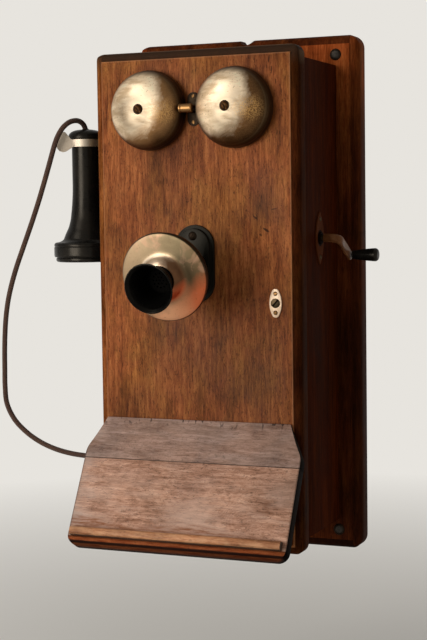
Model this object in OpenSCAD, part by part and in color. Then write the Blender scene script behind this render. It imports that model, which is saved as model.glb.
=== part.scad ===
// Wall telephone with a hand crank magneto.
// Origin: centre of the four wall screws, in the plane of the wall.
// +Z is up, the door faces -Y, and the wall lies at y = 0.

/* [Backboard] */
// How far the backboard stands out past each side of the cabinet
back_margin_x = 23.3; // [20:0.1:32]
// How far the backboard stands out above and below the cabinet
back_margin_z = 30.5; // [26:0.1:40]
// Thickness of the backboard
back_t = 22; // [18:1:30]
// Width of the rounded edge of the backboard
back_mould = 9.2; // [6:0.1:10]
// Radius of the backboard's corners
back_corner_r = 13; // [9:1:20]
// Width of the finger notch in the top edge
notch_w = 15.5; // [10:0.5:24]
// Depth of the finger notch in the top edge
notch_d = 5; // [3:0.5:8]
// Distance of the wall screws from the sides of the backboard
screw_edge_x = 23.7; // [15:0.1:27]
// Distance of the wall screws from the ends of the backboard
screw_edge_z = 19.7; // [15:0.1:23]
// Diameter of the wall screw holes
screw_hole_d = 5.2; // [4:0.1:6.5]

/* [Cabinet] */
// Width of the cabinet over its sides
case_w = 195.4; // [185:0.2:220]
// Height of the cabinet
case_h = 460; // [445:1:520]
// Depth of the cabinet from the backboard to its front edge
case_d = 116; // [110:1:135]
// Thickness of the cabinet boards
wood_t = 11; // [9:0.5:13]

/* [Door] */
// How far the door stands out past each side of the cabinet
door_lap_x = 7.5; // [6:0.1:12]
// How far the door stands out above and below the cabinet
door_lap_z = 9.5; // [6:0.1:14]
// Thickness of the door
door_t = 18.6; // [15:0.2:24]
// Gap between the door and the cabinet's front edge
door_gap = 0.5; // [0.3:0.1:1]
// Width of the rounded edge of the door
door_mould = 8; // [5:0.1:10]
// Radius of the door's corners
door_corner_r = 10; // [8.5:0.5:16]
// Depth of the step where the rounded edges begin
mould_step = 1.6; // [1:0.1:2.5]

/* [Hinges] */
// Height of each hinge
hinge_h = 48; // [36:1:64]
// Height of the hinges above and below the middle
hinge_z = 165; // [120:1:185]
// Radius of the hinge barrel
hinge_r = 3; // [2.6:0.1:3.2]
// Radius of the hinge pin
hinge_pin_r = 1.3; // [1:0.1:1.6]
// Thickness of the hinge leaves
leaf_t = 1.3; // [1:0.1:1.8]
// Width of the hinge leaves
leaf_w = 17; // [12:1:24]

/* [Lock] */
// Distance of the lock from the cabinet's right side
lock_inset = 16.7; // [16.2:0.1:22]
// Height of the lock above the middle
lock_z = -0.9; // [-3:0.1:6]
// Radius of the lock barrel
lock_r = 4.4; // [3.5:0.1:5.5]
// Length of the lock's cam from the barrel's centre
cam_reach = 14; // [12.5:0.5:14.5]

/* [Bells] */
// Radius of each gong
gong_r = 38.1; // [34:0.1:41]
// Height of each gong from rim to crown
gong_h = 27; // [22:0.5:32]
// Thickness of the gong metal
gong_t = 1.6; // [1.2:0.1:2.2]
// Space between the two gong rims
gong_gap = 11.6; // [9:0.1:16]
// Distance of the bells below the top of the cabinet
bell_drop = 47.6; // [42:0.1:52]
// Gap between the gong rims and the door
gong_lift = 4; // [3:0.5:6]
// Radius of the posts that carry the gongs
post_r = 3.6; // [3:0.1:4.5]
// Length of the hammer
hammer_w = 13; // [9:0.5:14]
// Radius of the hammer
hammer_r = 4.15; // [3:0.05:5]
// Distance from the door to the hammer's centre
hammer_out = 19; // [16:0.5:22]

/* [Transmitter] */
// Radius of the transmitter's face plate
face_r = 42; // [38:0.5:46]
// Downward tilt of the transmitter
face_tilt = 14.2; // [0:0.1:18]
// Distance from the door to the transmitter's pivot
pivot_out = 36.7; // [34:0.1:44]
// Height of the transmitter's pivot above the middle
pivot_z = 35.4; // [30:0.1:42]
// Distance from the pivot to the rim of the face plate
face_out = 38; // [36:0.5:42]
// Radius of the mouthpiece at its mouth
mouth_r = 23.4; // [20:0.2:28]
// Distance from the rim of the face plate to the mouth
mouth_out = 35.7; // [30:0.1:42]
// Radius of the mouthpiece's neck
mouth_neck_r = 13.6; // [12:0.1:15]
// Thickness of the mouthpiece's wall
mouth_t = 2; // [1.6:0.1:2.4]
// Half width of the oval base
base_r = 20; // [17:0.5:24]
// Height of the oval base
base_h = 88; // [76:1:100]
// Height of the middle of the oval base
base_z = 29; // [24:1:34]

/* [Writing shelf] */
// Height of the shelf's top edge
shelf_top_z = -114.1; // [-120:0.1:-104]
// Slope of the shelf from the vertical
shelf_slope = 29.1; // [24:0.1:33]
// Length of the shelf down its slope
shelf_len = 131; // [120:1:136]
// Thickness of the shelf boards
shelf_t = 12.5; // [10:0.5:15]
// Width of the shelf at its top
shelf_top_w = 190.8; // [170:0.2:196]
// Width of the shelf below its ears
shelf_w = 222; // [210:0.5:230]
// Length of the upper board down the slope
upper_plank = 43; // [38:1:60]
// Radius of the coves below the top edge
cove_r = 33; // [31:0.5:38]
// Radius of the lower corners
shelf_corner_r = 10; // [6:0.5:16]
// Radius of the rounded lower edge
shelf_nose_r = 7; // [4:0.5:9]
// Distance of the pencil ledge from the shelf's lower edge
ledge_toe = 8; // [7.5:0.5:14]
// Width of the pencil ledge down the slope
ledge_w = 9; // [6:0.5:10]
// Height of the pencil ledge over the shelf
ledge_h = 7.5; // [4:0.5:9]
// Distance of the ledge's ends from the shelf's sides
ledge_inset = 4; // [2:0.5:8]
// Thickness of the brackets under the shelf
bracket_t = 12; // [8:0.5:16]
// Distance of the brackets from the sides of the cabinet
bracket_inset = 2; // [0:0.5:10]

/* [Crank and magneto] */
// Distance of the crank shaft from the wall
crank_y = 80; // [76:0.5:84]
// Height of the crank shaft above the middle
crank_z = 58.3; // [50:0.1:66]
// Radius of the crank shaft
crank_shaft_r = 3.2; // [2.8:0.1:3.8]
// How far the crank arm stands out from the cabinet
crank_out = 19; // [16:0.5:26]
// Distance from the shaft to the grip
crank_arm_r = 37.3; // [32:0.1:60]
// Angle of the crank arm behind straight down
crank_angle = 62.3; // [40:0.1:80]
// Length of the grip
grip_len = 27; // [22:0.5:40]
// Radius of the grip at its thick end
grip_r = 6.6; // [5:0.1:8]
// Radius of the pin inside the grip
grip_pin_r = 2.2; // [1.8:0.1:2.6]
// Tooth size of the gears: pitch diameter over number of teeth
gear_module = 1; // [0.9:0.05:1.05]
// Teeth on the drive wheel
wheel_teeth = 60; // [60:4:64]
// Teeth on the armature's pinion
pinion_teeth = 12; // [12:1:14]
// Width of the drive wheel
wheel_w = 6; // [4:0.5:7]
// Length of the magnets along the shaft, each
magnet_w = 10; // [8:0.2:10.2]
// Number of magnets
magnet_count = 5; // [3:1:5]
// Half width of the magnet bow
magnet_r = 38; // [36:0.5:40]
// Thickness of the magnet bar
magnet_t = 10; // [8:0.5:11]
// Radius of the armature
armature_r = 13.8; // [12:0.1:14.5]

/* [Dry cells] */
// Radius of each dry cell
cell_r = 31.5; // [28:0.5:33]
// Height of each dry cell
cell_h = 152; // [120:1:156]
// Distance of each cell's axis from the middle of the cabinet
cell_x = 36; // [34:0.5:50]

/* [Hook and receiver] */
// Distance of the receiver from the wall
receiver_y = 97.1; // [92:0.1:100]
// Distance from the cabinet to the receiver's axis
receiver_out = 48.7; // [46:0.1:56]
// Height of the fork's upper edge above the middle
fork_z = 160.4; // [150:0.1:170]
// Height of the fork strap
fork_h = 7.5; // [6:0.1:9]
// Thickness of the fork strap
fork_t = 1.8; // [1.4:0.1:2.2]
// Radius of the receiver's neck
neck_r = 14.3; // [13:0.1:15]
// Radius of the receiver's top cap
top_cap_r = 18.4; // [17.8:0.1:19]
// Radius of the receiver's ear cap
ear_cap_r = 34.3; // [33:0.1:37]
// Length of the receiver below its top cap
receiver_len = 124.8; // [118:0.2:140]
// Radius of the receiver cord
cord_r = 2.65; // [2.2:0.05:3]

/* [Hidden] */
$fn = 64;

// Clearances
run_gap = 0.05;     // a shaft in its bearing, on the radius
seat_gap = 0.3;     // moving pieces that lie against each other
screw_gap = 0.8;    // a part that passes through wood

// Overall planes
back_w = case_w + 2 * back_margin_x;
back_h = case_h + 2 * back_margin_z;
back_face = -back_t;
case_front = back_face - case_d;
door_back = case_front - door_gap;
door_face = door_back - door_t;
door_w = case_w + 2 * door_lap_x;
door_h = case_h + 2 * door_lap_z;
side_x = case_w / 2;
side_in = side_x - wood_t;
floor_z = -case_h / 2 + wood_t;

// Hinge axis
hinge_x = -(side_x + hinge_r + seat_gap);
hinge_y = door_back - leaf_t + hinge_r;
hinge_zs = [-hinge_z, hinge_z];
knuckles = 5;

// Bells
bell_z = case_h / 2 - bell_drop;
gong_x = gong_r + gong_gap / 2;
gong_rim_y = door_face - gong_lift;
gong_crown_y = gong_rim_y - gong_h;
hammer_y = door_face - hammer_out;
rod_r = 1.3;
slot_w = 9;
slot_h = 7;

// Ringer behind the door
ringer_plate_t = 3;
armature_y = door_back + 20;
armature_t = 4;
coil_x = 20;
coil_r = 12;
core_r = 3.5;
core_gap = 1.9;
coil_y0 = armature_y + armature_t / 2 + core_gap;
coil_len = 34;
yoke_y = coil_y0 + coil_len + 2;
yoke_t = 6;
yoke_x = 40;

// Transmitter, in its own tilted frame with the pivot at the origin
tongue_w = 8;
pivot_r = 3;
cup_back = -14;
cup_r = face_r - 2;
collar_r = 21;
collar_out = face_out + 11;
pivot_y = door_face - pivot_out;
base_t = 7;

// Mouthpiece, as distances in front of the pivot
mouth_y = face_out + mouth_out;
mouth_base = collar_out - 5;
horn_start = collar_out + 0.5;

// Pointed plates of the lock and the crank
plate_t = 1.5;
lock_plate_w = 13.2;
lock_plate_h = 27;
lock_plate_tip = 33;
crank_plate_w = 23;
crank_plate_h = 52;

// Lock
lock_x = side_x - lock_inset;
strike_t = 1.2;
strike_z = [lock_z - cam_reach - 6, lock_z + 12];
strike_y = [case_front, door_back + 14];
pocket_z = [lock_z - cam_reach - 2, lock_z + 6];
pocket_y = [door_back + 3.5, door_back + 8.5];

// Writing shelf
ledge_at = shelf_len - ledge_toe - ledge_w;

// Dry cells
cell_y = back_face - cell_r - 8;

// Induction coil and terminal strip on the backboard
coil_z = case_h / 2 - wood_t - 31;
coil_r_out = 12;
coil_cheek = 15;
coil_xs = [-6, 71];
cheek_t = 5;
strip_z = coil_z - 47;
strip_half = 9;
strip_t = 10;
strip_x = [-14, side_in - 14];
post_step = 16;

// Crank, gears and magneto
arm_z = crank_z - gear_module * (wheel_teeth + pinion_teeth) / 2;
magneto_x1 = side_in - 19;
magneto_t = 3.5;
magnet_gap = 0.6;
magneto_x0 = magneto_x1 - 2 * magneto_t - magnet_count * (magnet_w + magnet_gap) - magnet_gap;
magnets_x0 = magneto_x0 + magneto_t;
magneto_base_z = arm_z - 30;
magneto_base_t = 4;
wheel_x = magneto_x1 + 6.5;
armature_shaft_r = 3;
magneto_shelf_t = 8;
magneto_shelf_front = case_front + 18;
magneto_cheek_w = 44;
bearing_boss_r = 11;
magnet_bow = 22;
crank_x = side_x + crank_out;
crank_arm_t = 3.2;
elbow_r = 8;
elbow_x = crank_x + crank_arm_t / 2 - elbow_r;

// Hook
hook_pivot_x = -(side_in - 9.7);
fork_r = neck_r + 1.3;
lever_t = 3;
lever_z = fork_z - fork_h / 2;
hook_pin_r = 2;
prong = 5;

// Receiver
rx = -(side_x + receiver_out);
ry = -receiver_y;
cap_z = fork_z + seat_gap;
ear_z = cap_z - receiver_len;
cap_top = cap_z + 10;
shell_t = 3;

// Heights on the receiver's shell where the neck's taper, waist and flare begin
taper_z = 60;
waist_z = 43;
flare_z = 34.6;

// Cord: it leaves the receiver upwards and ends at the bushing in the cabinet's left side
bushing_z = -166;
bushing_out = 4;
bushing_x = -(side_x + bushing_out);
cord_route = [
    [rx, ry, cap_top + seat_gap], [-146.3, -100, 174.3], [-146.6, -103.7, 176.9],
    [-147.4, -108, 178.6], [-148.8, -112.3, 179.2], [-150.6, -116.5, 178.7],
    [-152.7, -120.3, 177.3], [-154.9, -123.5, 174.8], [-157.2, -125.9, 171.6],
    [-159.3, -127.6, 167.8], [-161.3, -128.6, 163.8], [-163.1, -129.2, 159.6],
    [-164.8, -129.4, 155.3], [-166.4, -129.3, 151], [-172.6, -128.7, 133.5],
    [-178.9, -128.2, 116], [-185.5, -127.6, 98.7], [-192.6, -126.9, 81.5],
    [-200.1, -126, 64.6], [-208, -124.6, 47.8], [-215.8, -123, 31.1], [-222.9, -121.1, 14],
    [-228.8, -119.2, -3.5], [-233.1, -117.1, -21.4], [-236, -115, -39.6],
    [-238.1, -112.9, -58], [-239.7, -110.7, -76.3], [-241.2, -108.4, -94.7],
    [-240.8, -106, -113], [-233.6, -103.4, -129.8], [-221, -101.1, -143.1],
    [-205.5, -99.3, -153.2], [-188.3, -98.1, -160], [-170.2, -97.5, -163.9],
    [-151.7, -97.2, -165.6], [-137.7, ry, bushing_z], [-123.7, ry, bushing_z],
    [-111.7, ry, bushing_z], [bushing_x, ry, bushing_z]
];

// Box between pairs of limits
module block(x, y, z) {
    translate([x[0], y[0], z[0]]) cube([x[1] - x[0], y[1] - y[0], z[1] - z[0]]);
}

// Rods along each axis, from one coordinate to another
module x_rod(r, x0, x1, y, z) {
    translate([x0, y, z]) rotate([0, 90, 0]) cylinder(h = x1 - x0, r = r);
}
module y_rod(r, y0, y1, x, z) {
    translate([x, y1, z]) rotate([90, 0, 0]) cylinder(h = y1 - y0, r = r);
}
module z_rod(r, z0, z1, x, y) {
    translate([x, y, z0]) cylinder(h = z1 - z0, r = r);
}

// Rectangle with round corners, centred
module rounded_rect(w, h, r) {
    square([w - 2 * r, h], center = true);
    square([w, h - 2 * r], center = true);
    for (x = [-1, 1], y = [-1, 1]) translate([x * (w / 2 - r), y * (h / 2 - r)]) circle(r);
}

// Oval with round ends, centred, long side upright
module stadium(r, h) {
    square([2 * r, h - 2 * r], center = true);
    for (y = [-1, 1]) translate([0, y * (h / 2 - r)]) circle(r);
}

// Pointed oval, centred, long side upright
module pointed_oval(w, h) {
    r = (w * w + h * h) / (4 * w);
    intersection_for(s = [-1, 1]) translate([s * (r - w / 2), 0]) circle(r, $fn = 96);
}

// Plate in the XZ plane from an outline, between two y planes
module y_plate(y0, y1) {
    translate([0, y1, 0]) rotate([90, 0, 0]) linear_extrude(y1 - y0) children();
}

// Cross-section of a board with a stepped and rounded front edge; its front is at y = 0
module edge_profile(w, t, mould) {
    r = mould - 1;
    translate([-w / 2, mould_step + r]) square([w, t - mould_step - r]);
    translate([-w / 2 + mould, 0]) square([w - 2 * mould, t]);
    translate([-w / 2 + r, mould_step]) square([w - 2 * r, t - mould_step]);
    for (s = [-1, 1]) translate([s * (w / 2 - r), mould_step + r]) circle(r);
}

// Upright board with moulded front edges all round
module moulded_board(w, h, t, mould, corner_r, front) {
    translate([0, front, 0]) intersection() {
        y_plate(0, t) rounded_rect(w, h, corner_r);
        translate([0, 0, -h / 2]) linear_extrude(h) edge_profile(w, t, mould);
        translate([w / 2, 0, 0]) rotate([0, -90, 0]) linear_extrude(w) edge_profile(h, t, mould);
    }
}

module backboard() color("sienna") difference() {
    moulded_board(back_w, back_h, back_t, back_mould, back_corner_r, back_face);
    for (x = [-1, 1], z = [-1, 1])
        y_rod(screw_hole_d / 2, back_face - 1, 1,
              x * (back_w / 2 - screw_edge_x), z * (back_h / 2 - screw_edge_z));
    // Finger notch: a shallow scoop in the top edge
    notch_r = (notch_w * notch_w / 4 + notch_d * notch_d) / (2 * notch_d);
    y_rod(notch_r, back_face - 1, 1, 0, back_h / 2 - notch_d + notch_r);
}

module cabinet_side_left() color("saddlebrown") difference() {
    block([-side_x, -side_in], [case_front, back_face], [-case_h / 2, case_h / 2]);
    // Slot for the hook lever and hole for the cord bushing
    block([-side_x - 1, -side_in + 1], [ry - lever_t, ry + lever_t],
          [fork_z - fork_h - 2, fork_z + 6]);
    x_rod(cord_r + 1.6 + seat_gap, -side_x - 1, -side_in + 1, ry, bushing_z);
}

module cabinet_side_right() color("saddlebrown") difference() {
    block([side_in, side_x], [case_front, back_face], [-case_h / 2, case_h / 2]);
    x_rod(crank_shaft_r + screw_gap, side_in - 1, side_x + 1, -crank_y, crank_z);
    // Pocket that the lock's cam turns into
    block([side_in - 1, lock_x + cam_reach + 1.5], pocket_y, pocket_z);
    block([side_in - 1, side_in + strike_t], [case_front - 1, strike_y[1]], strike_z);
}

module cabinet_top() color("saddlebrown")
    block([-side_in, side_in], [case_front, back_face], [case_h / 2 - wood_t, case_h / 2]);

module cabinet_bottom() color("saddlebrown")
    block([-side_in, side_in], [case_front, back_face], [-case_h / 2, floor_z]);

module magneto_shelf() color("peru")
    block([-side_in, side_in], [magneto_shelf_front, back_face],
          [magneto_base_z - magneto_shelf_t, magneto_base_z]);

// Barrel sections of one hinge; the door has the odd ones, the cabinet the even ones
function knuckle_z(i) = -hinge_h / 2 + i * hinge_h / knuckles;
module hinge_barrel(first, grow) {
    for (i = [first : 2 : knuckles - 1])
        z_rod(hinge_r + grow, knuckle_z(i) + 0.15 - grow,
              knuckle_z(i + 1) - 0.15 + grow, hinge_x, hinge_y);
}

module cabinet_hinge_leaves() color("darkgoldenrod")
    for (z = hinge_zs) translate([0, 0, z]) difference() {
        union() {
            hinge_barrel(0, 0);
            difference() {
                block([-side_x - leaf_t, -side_x], [hinge_y, hinge_y + leaf_w + hinge_r],
                      [-hinge_h / 2, hinge_h / 2]);
                hinge_barrel(1, seat_gap);
            }
            for (i = [0 : 2 : knuckles - 1])
                block([hinge_x, -side_x], [hinge_y, hinge_y + hinge_r - 0.2],
                      [knuckle_z(i) + 0.15, knuckle_z(i + 1) - 0.15]);
        }
        z_rod(hinge_pin_r, -hinge_h, hinge_h, hinge_x, hinge_y);
    }

module door_hinge_leaves() color("goldenrod")
    for (z = hinge_zs) translate([0, 0, z]) difference() {
        union() {
            hinge_barrel(1, 0);
            difference() {
                block([hinge_x + hinge_r + 0.5, hinge_x + leaf_w],
                      [door_back - leaf_t, door_back], [-hinge_h / 2, hinge_h / 2]);
                hinge_barrel(0, seat_gap);
            }
            for (i = [1 : 2 : knuckles - 1])
                block([hinge_x, hinge_x + hinge_r + 1], [door_back - leaf_t, door_back],
                      [knuckle_z(i) + 0.15, knuckle_z(i + 1) - 0.15]);
        }
        z_rod(hinge_pin_r + run_gap, -hinge_h, hinge_h, hinge_x, hinge_y);
    }

module hinge_pins() color("dimgray")
    for (z = hinge_zs)
        z_rod(hinge_pin_r, z - hinge_h / 2 + 0.15, z + hinge_h / 2 - 0.15, hinge_x, hinge_y);

// Plate let into the cabinet's right side, with the slot for the lock's cam
module strike_plate() color("darkgoldenrod") difference() {
    block([side_in, side_in + strike_t], strike_y, strike_z);
    block([side_in - 1, side_in + strike_t + 1], pocket_y, pocket_z);
}

module crank_escutcheon() color("silver") difference() {
    union() {
        translate([side_x, -crank_y, crank_z]) rotate([90, 0, 90])
            linear_extrude(plate_t) pointed_oval(crank_plate_w, crank_plate_h);
        x_rod(crank_shaft_r + 2.8, side_x, side_x + plate_t + 1.6, -crank_y, crank_z);
    }
    x_rod(crank_shaft_r + 0.5, side_x - 1, side_x + plate_t + 3, -crank_y, crank_z);
}

// Bed plate with two bearing cheeks, one at each end of the magnets
module magneto_frame() color("goldenrod") difference() {
    union() {
        block([magneto_x0, magneto_x1], [-crank_y - magnet_r - 2, -crank_y + magnet_r + 2],
              [magneto_base_z, magneto_base_z + magneto_base_t]);
        for (x = [magneto_x0, magneto_x1 - magneto_t]) {
            translate([x, -crank_y, 0]) rotate([90, 0, 90]) linear_extrude(magneto_t) {
                translate([-magneto_cheek_w / 2, magneto_base_z])
                    square([magneto_cheek_w, arm_z - magneto_base_z + 6]);
                translate([-bearing_boss_r, arm_z]) square([2 * bearing_boss_r, crank_z - arm_z]);
                translate([0, crank_z]) circle(bearing_boss_r);
            }
        }
        // Bearing bosses
        x_rod(8, magneto_x1, magneto_x1 + 3, -crank_y, crank_z);
        x_rod(8, magneto_x0 - 3, magneto_x0, -crank_y, crank_z);
    }
    x_rod(crank_shaft_r + run_gap, magneto_x0 - 4, magneto_x1 + 4, -crank_y, crank_z);
    x_rod(armature_shaft_r + run_gap, magneto_x0 - 4, magneto_x1 + 4, -crank_y, arm_z);
}

// Upside-down U magnets that straddle the armature, side by side
module magneto_magnets() color("firebrick") {
    bow_z = arm_z + magnet_bow;
    foot_z = magneto_base_z + magneto_base_t;
    for (i = [0 : magnet_count - 1])
        translate([magnets_x0 + magnet_gap + i * (magnet_w + magnet_gap), -crank_y, 0])
            rotate([90, 0, 90]) linear_extrude(magnet_w) {
                for (s = [-1, 1])
                    translate([s * (magnet_r - magnet_t / 2) - magnet_t / 2, foot_z])
                        square([magnet_t, bow_z - foot_z]);
                translate([0, bow_z]) intersection() {
                    difference() {
                        circle(magnet_r);
                        circle(magnet_r - magnet_t);
                    }
                    translate([-magnet_r, 0]) square([2 * magnet_r, magnet_r]);
                }
            }
}

module magneto_pole_shoes() color("slategray") difference() {
    for (s = [-1, 1])
        translate([0, -crank_y + s * (magnet_r - magnet_t + 4) / 2, 0])
            block([magnets_x0 + magnet_gap, magneto_x1 - magneto_t - magnet_gap],
                  [-(magnet_r - magnet_t - 4) / 2, (magnet_r - magnet_t - 4) / 2],
                  [magneto_base_z + magneto_base_t, arm_z + 17]);
    x_rod(armature_r + 0.4, magneto_x0, magneto_x1, -crank_y, arm_z);
}

// Hook bracket: plate on the cabinet's side with two ears and the pivot pin
module hook_bracket() color("goldenrod") {
    difference() {
        block([-side_in, -side_in + 2], [ry - 15, ry + 15], [fork_z - 52, fork_z + 26]);
        block([-side_in - 1, -side_in + 3], [ry - lever_t, ry + lever_t],
              [fork_z - fork_h - 2, fork_z + 6]);
    }
    for (s = [-1, 1]) translate([0, ry + s * 6.5, 0]) {
        block([-side_in + 2, hook_pivot_x], [-1.5, 1.5], [lever_z - 6, lever_z + 6]);
        y_rod(6, -1.5, 1.5, hook_pivot_x, lever_z);
    }
    y_rod(hook_pin_r, ry - 10, ry + 10, hook_pivot_x, lever_z);
}

// Contact springs: thin blades between insulators, standing beside the lever's tail
module hook_contact_springs() color("darkgoldenrod") {
    spring_x = hook_pivot_x + 12.5;
    stack_z = fork_z - 50;
    block([-side_in + 2, spring_x + 12], [ry - 6, ry + 6], [stack_z, stack_z + 12]);
    for (i = [0 : 2])
        block([spring_x + 1 + i * 4, spring_x + 1.6 + i * 4], [ry - 3.5, ry + 3.5],
              [stack_z + 12, stack_z + 30 - i * 3]);
}

// Induction coil: a wound core between two square cheeks, on the backboard
module induction_coil() color("darkgreen") {
    for (x = [coil_xs[0], coil_xs[1] - cheek_t]) translate([x, 0, 0])
        block([0, cheek_t], [back_face - 2 * coil_cheek, back_face],
              [coil_z - coil_cheek, coil_z + coil_cheek]);
    x_rod(coil_r_out, coil_xs[0] + cheek_t, coil_xs[1] - cheek_t, back_face - coil_cheek, coil_z);
}

module terminal_strip() color("peru")
    block(strip_x, [back_face - strip_t, back_face], [strip_z - strip_half, strip_z + strip_half]);

module binding_posts() color("gold") {
    foot = back_face - strip_t;
    for (i = [0 : 4]) translate([strip_x[0] + 8 + i * post_step, 0, 0]) {
        y_rod(1.6, foot - 12, foot, 0, strip_z);
        y_rod(4, foot - 6, foot, 0, strip_z);
        y_rod(3.2, foot - 11, foot - 7, 0, strip_z);
    }
}

// Two round dry cells stand side by side on the cabinet's floor
module dry_cells() color("steelblue")
    for (s = [-1, 1]) translate([s * cell_x, cell_y, floor_z]) rotate_extrude()
        polygon([[0, 0], [cell_r - 1.5, 0], [cell_r, 1.5], [cell_r, cell_h],
                 [cell_r - 1, cell_h], [cell_r - 1, cell_h - 4], [0, cell_h - 4]]);

module cell_terminals() color("gold")
    for (s = [-1, 1]) translate([s * cell_x, cell_y, floor_z + cell_h - 4]) {
        rotate_extrude() polygon([[0, 0], [10, 0], [10, 5], [2, 5], [2, 8], [4, 8], [4, 12],
                                  [2, 12], [2, 15], [0, 15]]);
        translate([0, -cell_r + 6, 0]) rotate_extrude()
            polygon([[0, 0], [2, 0], [2, 4], [4, 4], [4, 8], [2, 8], [2, 11], [0, 11]]);
    }

module cord_bushing() color("black") difference() {
    union() {
        x_rod(7, bushing_x, -side_x, ry, bushing_z);
        x_rod(cord_r + 1.6, -side_x, -side_in + 2, ry, bushing_z);
    }
    x_rod(cord_r - 0.8, bushing_x - 1, -side_in + 3, ry, bushing_z);
}

// Round tube swept along a route of points, starting upwards
function unit(v) = v / norm(v);
function heading(p, i) =
    unit(p[min(i + 1, len(p) - 1)] - p[max(i - 1, 0)]);
module round_tube(p, r, sides) {
    n = len(p);
    points = [
        for (i = [0 : n - 1]) let (
            h = i == 0 ? [0, 0, 1] : i == n - 2 ? unit(p[i + 1] - p[i]) : heading(p, i),
            u = unit(cross(h, [0, 1, 0])),
            v = cross(u, h))
            for (k = [0 : sides - 1]) let (a = 360 * (k + 0.5) / sides)
                p[i] + r * (cos(a) * u + sin(a) * v)
    ];
    faces = [
        [for (k = [0 : sides - 1]) k],
        for (i = [0 : n - 2], k = [0 : sides - 1]) let (
            a = i * sides + k, b = i * sides + (k + 1) % sides)
            each [[a, a + sides, b + sides], [a, b + sides, b]],
        [for (k = [sides - 1 : -1 : 0]) (n - 1) * sides + k]
    ];
    polyhedron(points, faces);
}

module receiver_cord() color("saddlebrown") round_tube(cord_route, cord_r, 8);

module door_panel() color("sienna") difference() {
    moulded_board(door_w, door_h, door_t, door_mould, door_corner_r, door_face);
    // Way through for the clapper's rod
    block([-slot_w / 2, slot_w / 2], [door_face - 1, door_back + 1],
          [bell_z - slot_h / 2, bell_z + slot_h / 2]);
    y_rod(lock_r + run_gap, door_face - 1, door_back + 1, lock_x, lock_z);
    for (z = hinge_zs) translate([0, 0, z]) {
        block([hinge_x, hinge_x + leaf_w], [door_back - leaf_t, door_back + 1],
              [-hinge_h / 2, hinge_h / 2]);
        z_rod(hinge_r + 0.4, -hinge_h / 2, hinge_h / 2, hinge_x, hinge_y);
        block([-door_w / 2 - 1, hinge_x], [hinge_y - hinge_r - 0.4, door_back + 1],
              [-hinge_h / 2, hinge_h / 2]);
    }
}

module lock_escutcheon() color("silver") difference() {
    y_plate(door_face - plate_t, door_face) translate([lock_x, lock_z]) intersection() {
        pointed_oval(lock_plate_w, lock_plate_tip);
        circle(lock_plate_h / 2, $fn = 96);
    }
    y_rod(lock_r + run_gap, door_face - 3, door_face + 1, lock_x, lock_z);
}

// Lock: slotted barrel through the door, with a shoulder in front and a square behind
module lock_spindle() color("silver") difference() {
    union() {
        y_rod(lock_r, door_face - 2.6, door_back + 1.5, lock_x, lock_z);
        block([lock_x - 2.5, lock_x + 2.5], [door_back + 1.5, door_back + 9],
              [lock_z - 2.5, lock_z + 2.5]);
    }
    translate([lock_x, door_face - 2.6, lock_z]) rotate([0, -45, 0])
        cube([2 * lock_r + 1, 2, 1.2], center = true);
}

module lock_cam() color("goldenrod") difference() {
    union() {
        y_rod(4.4, door_back + 4.5, door_back + 7.5, lock_x, lock_z);
        block([lock_x - 3.5, lock_x + 3.5], [door_back + 4.5, door_back + 7.5],
              [lock_z - cam_reach, lock_z]);
    }
    block([lock_x - 2.5, lock_x + 2.5], [door_back + 4, door_back + 8],
          [lock_z - 2.5, lock_z + 2.5]);
}

// Gong: a shell between two like domes, opening towards the door
function dome(r, h, n) = [
    for (i = [0 : n]) let (a = 90 * i / n) [r * pow(cos(a), 0.86), h * pow(sin(a), 0.92)]
];
module gong(x) color("silver")
    translate([x, gong_rim_y, bell_z]) rotate([90, 0, 0]) difference() {
        rotate_extrude() difference() {
            polygon(concat([[0, 0]], dome(gong_r, gong_h, 14)));
            polygon(concat([[0, -1], [gong_r - gong_t, -1]],
                           dome(gong_r - gong_t, gong_h - gong_t, 14)));
        }
        translate([0, 0, gong_h / 2]) cylinder(h = gong_h, r = 2.2);
    }
module gong_left() gong(-gong_x);
module gong_right() gong(gong_x);

// Posts from the door to the crowns of the gongs, with a screw head on each
module gong_posts() color("darkgoldenrod")
    for (x = [-gong_x, gong_x]) {
        y_rod(post_r, gong_crown_y + gong_t + 0.15, door_face, x, bell_z);
        y_rod(2, gong_crown_y - 0.5, gong_crown_y + gong_t + 1, x, bell_z);
        translate([x, gong_crown_y, bell_z]) rotate([90, 0, 0]) difference() {
            cylinder(h = 2.2, r = 3.8);
            translate([-4, -0.5, 1.2]) cube([8, 1, 2]);
        }
    }

module clapper_plate() color("dimgray") difference() {
    y_plate(door_face - 1.2, door_face) translate([0, bell_z]) stadium(6, 32);
    block([-slot_w / 2, slot_w / 2], [door_face - 2, door_face + 1],
          [bell_z - slot_h / 2, bell_z + slot_h / 2]);
}

// Iron frame behind the door: front plate, side bars, rear yoke with cores, pivot ears and pin
module ringer_frame() color("dimgray") {
    plate_y = door_back + ringer_plate_t;
    difference() {
        block([-yoke_x, yoke_x], [door_back, plate_y], [bell_z - 16, bell_z + 16]);
        block([-slot_w / 2, slot_w / 2], [door_back - 1, plate_y + 1],
              [bell_z - slot_h / 2, bell_z + slot_h / 2]);
    }
    for (s = [-1, 1]) {
        translate([s * (yoke_x - 2), 0, 0])
            block([-2, 2], [plate_y, yoke_y], [bell_z - 8, bell_z + 8]);
        y_rod(core_r, coil_y0, yoke_y, s * coil_x, bell_z);
        translate([0, 0, bell_z + s * 9.5])
            block([-4, 4], [plate_y, armature_y + 4], [-1.5, 1.5]);
    }
    block([-yoke_x, yoke_x], [yoke_y, yoke_y + yoke_t], [bell_z - 14, bell_z + 14]);
    z_rod(1.5, bell_z - 12, bell_z + 12, 0, armature_y);
}

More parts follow.
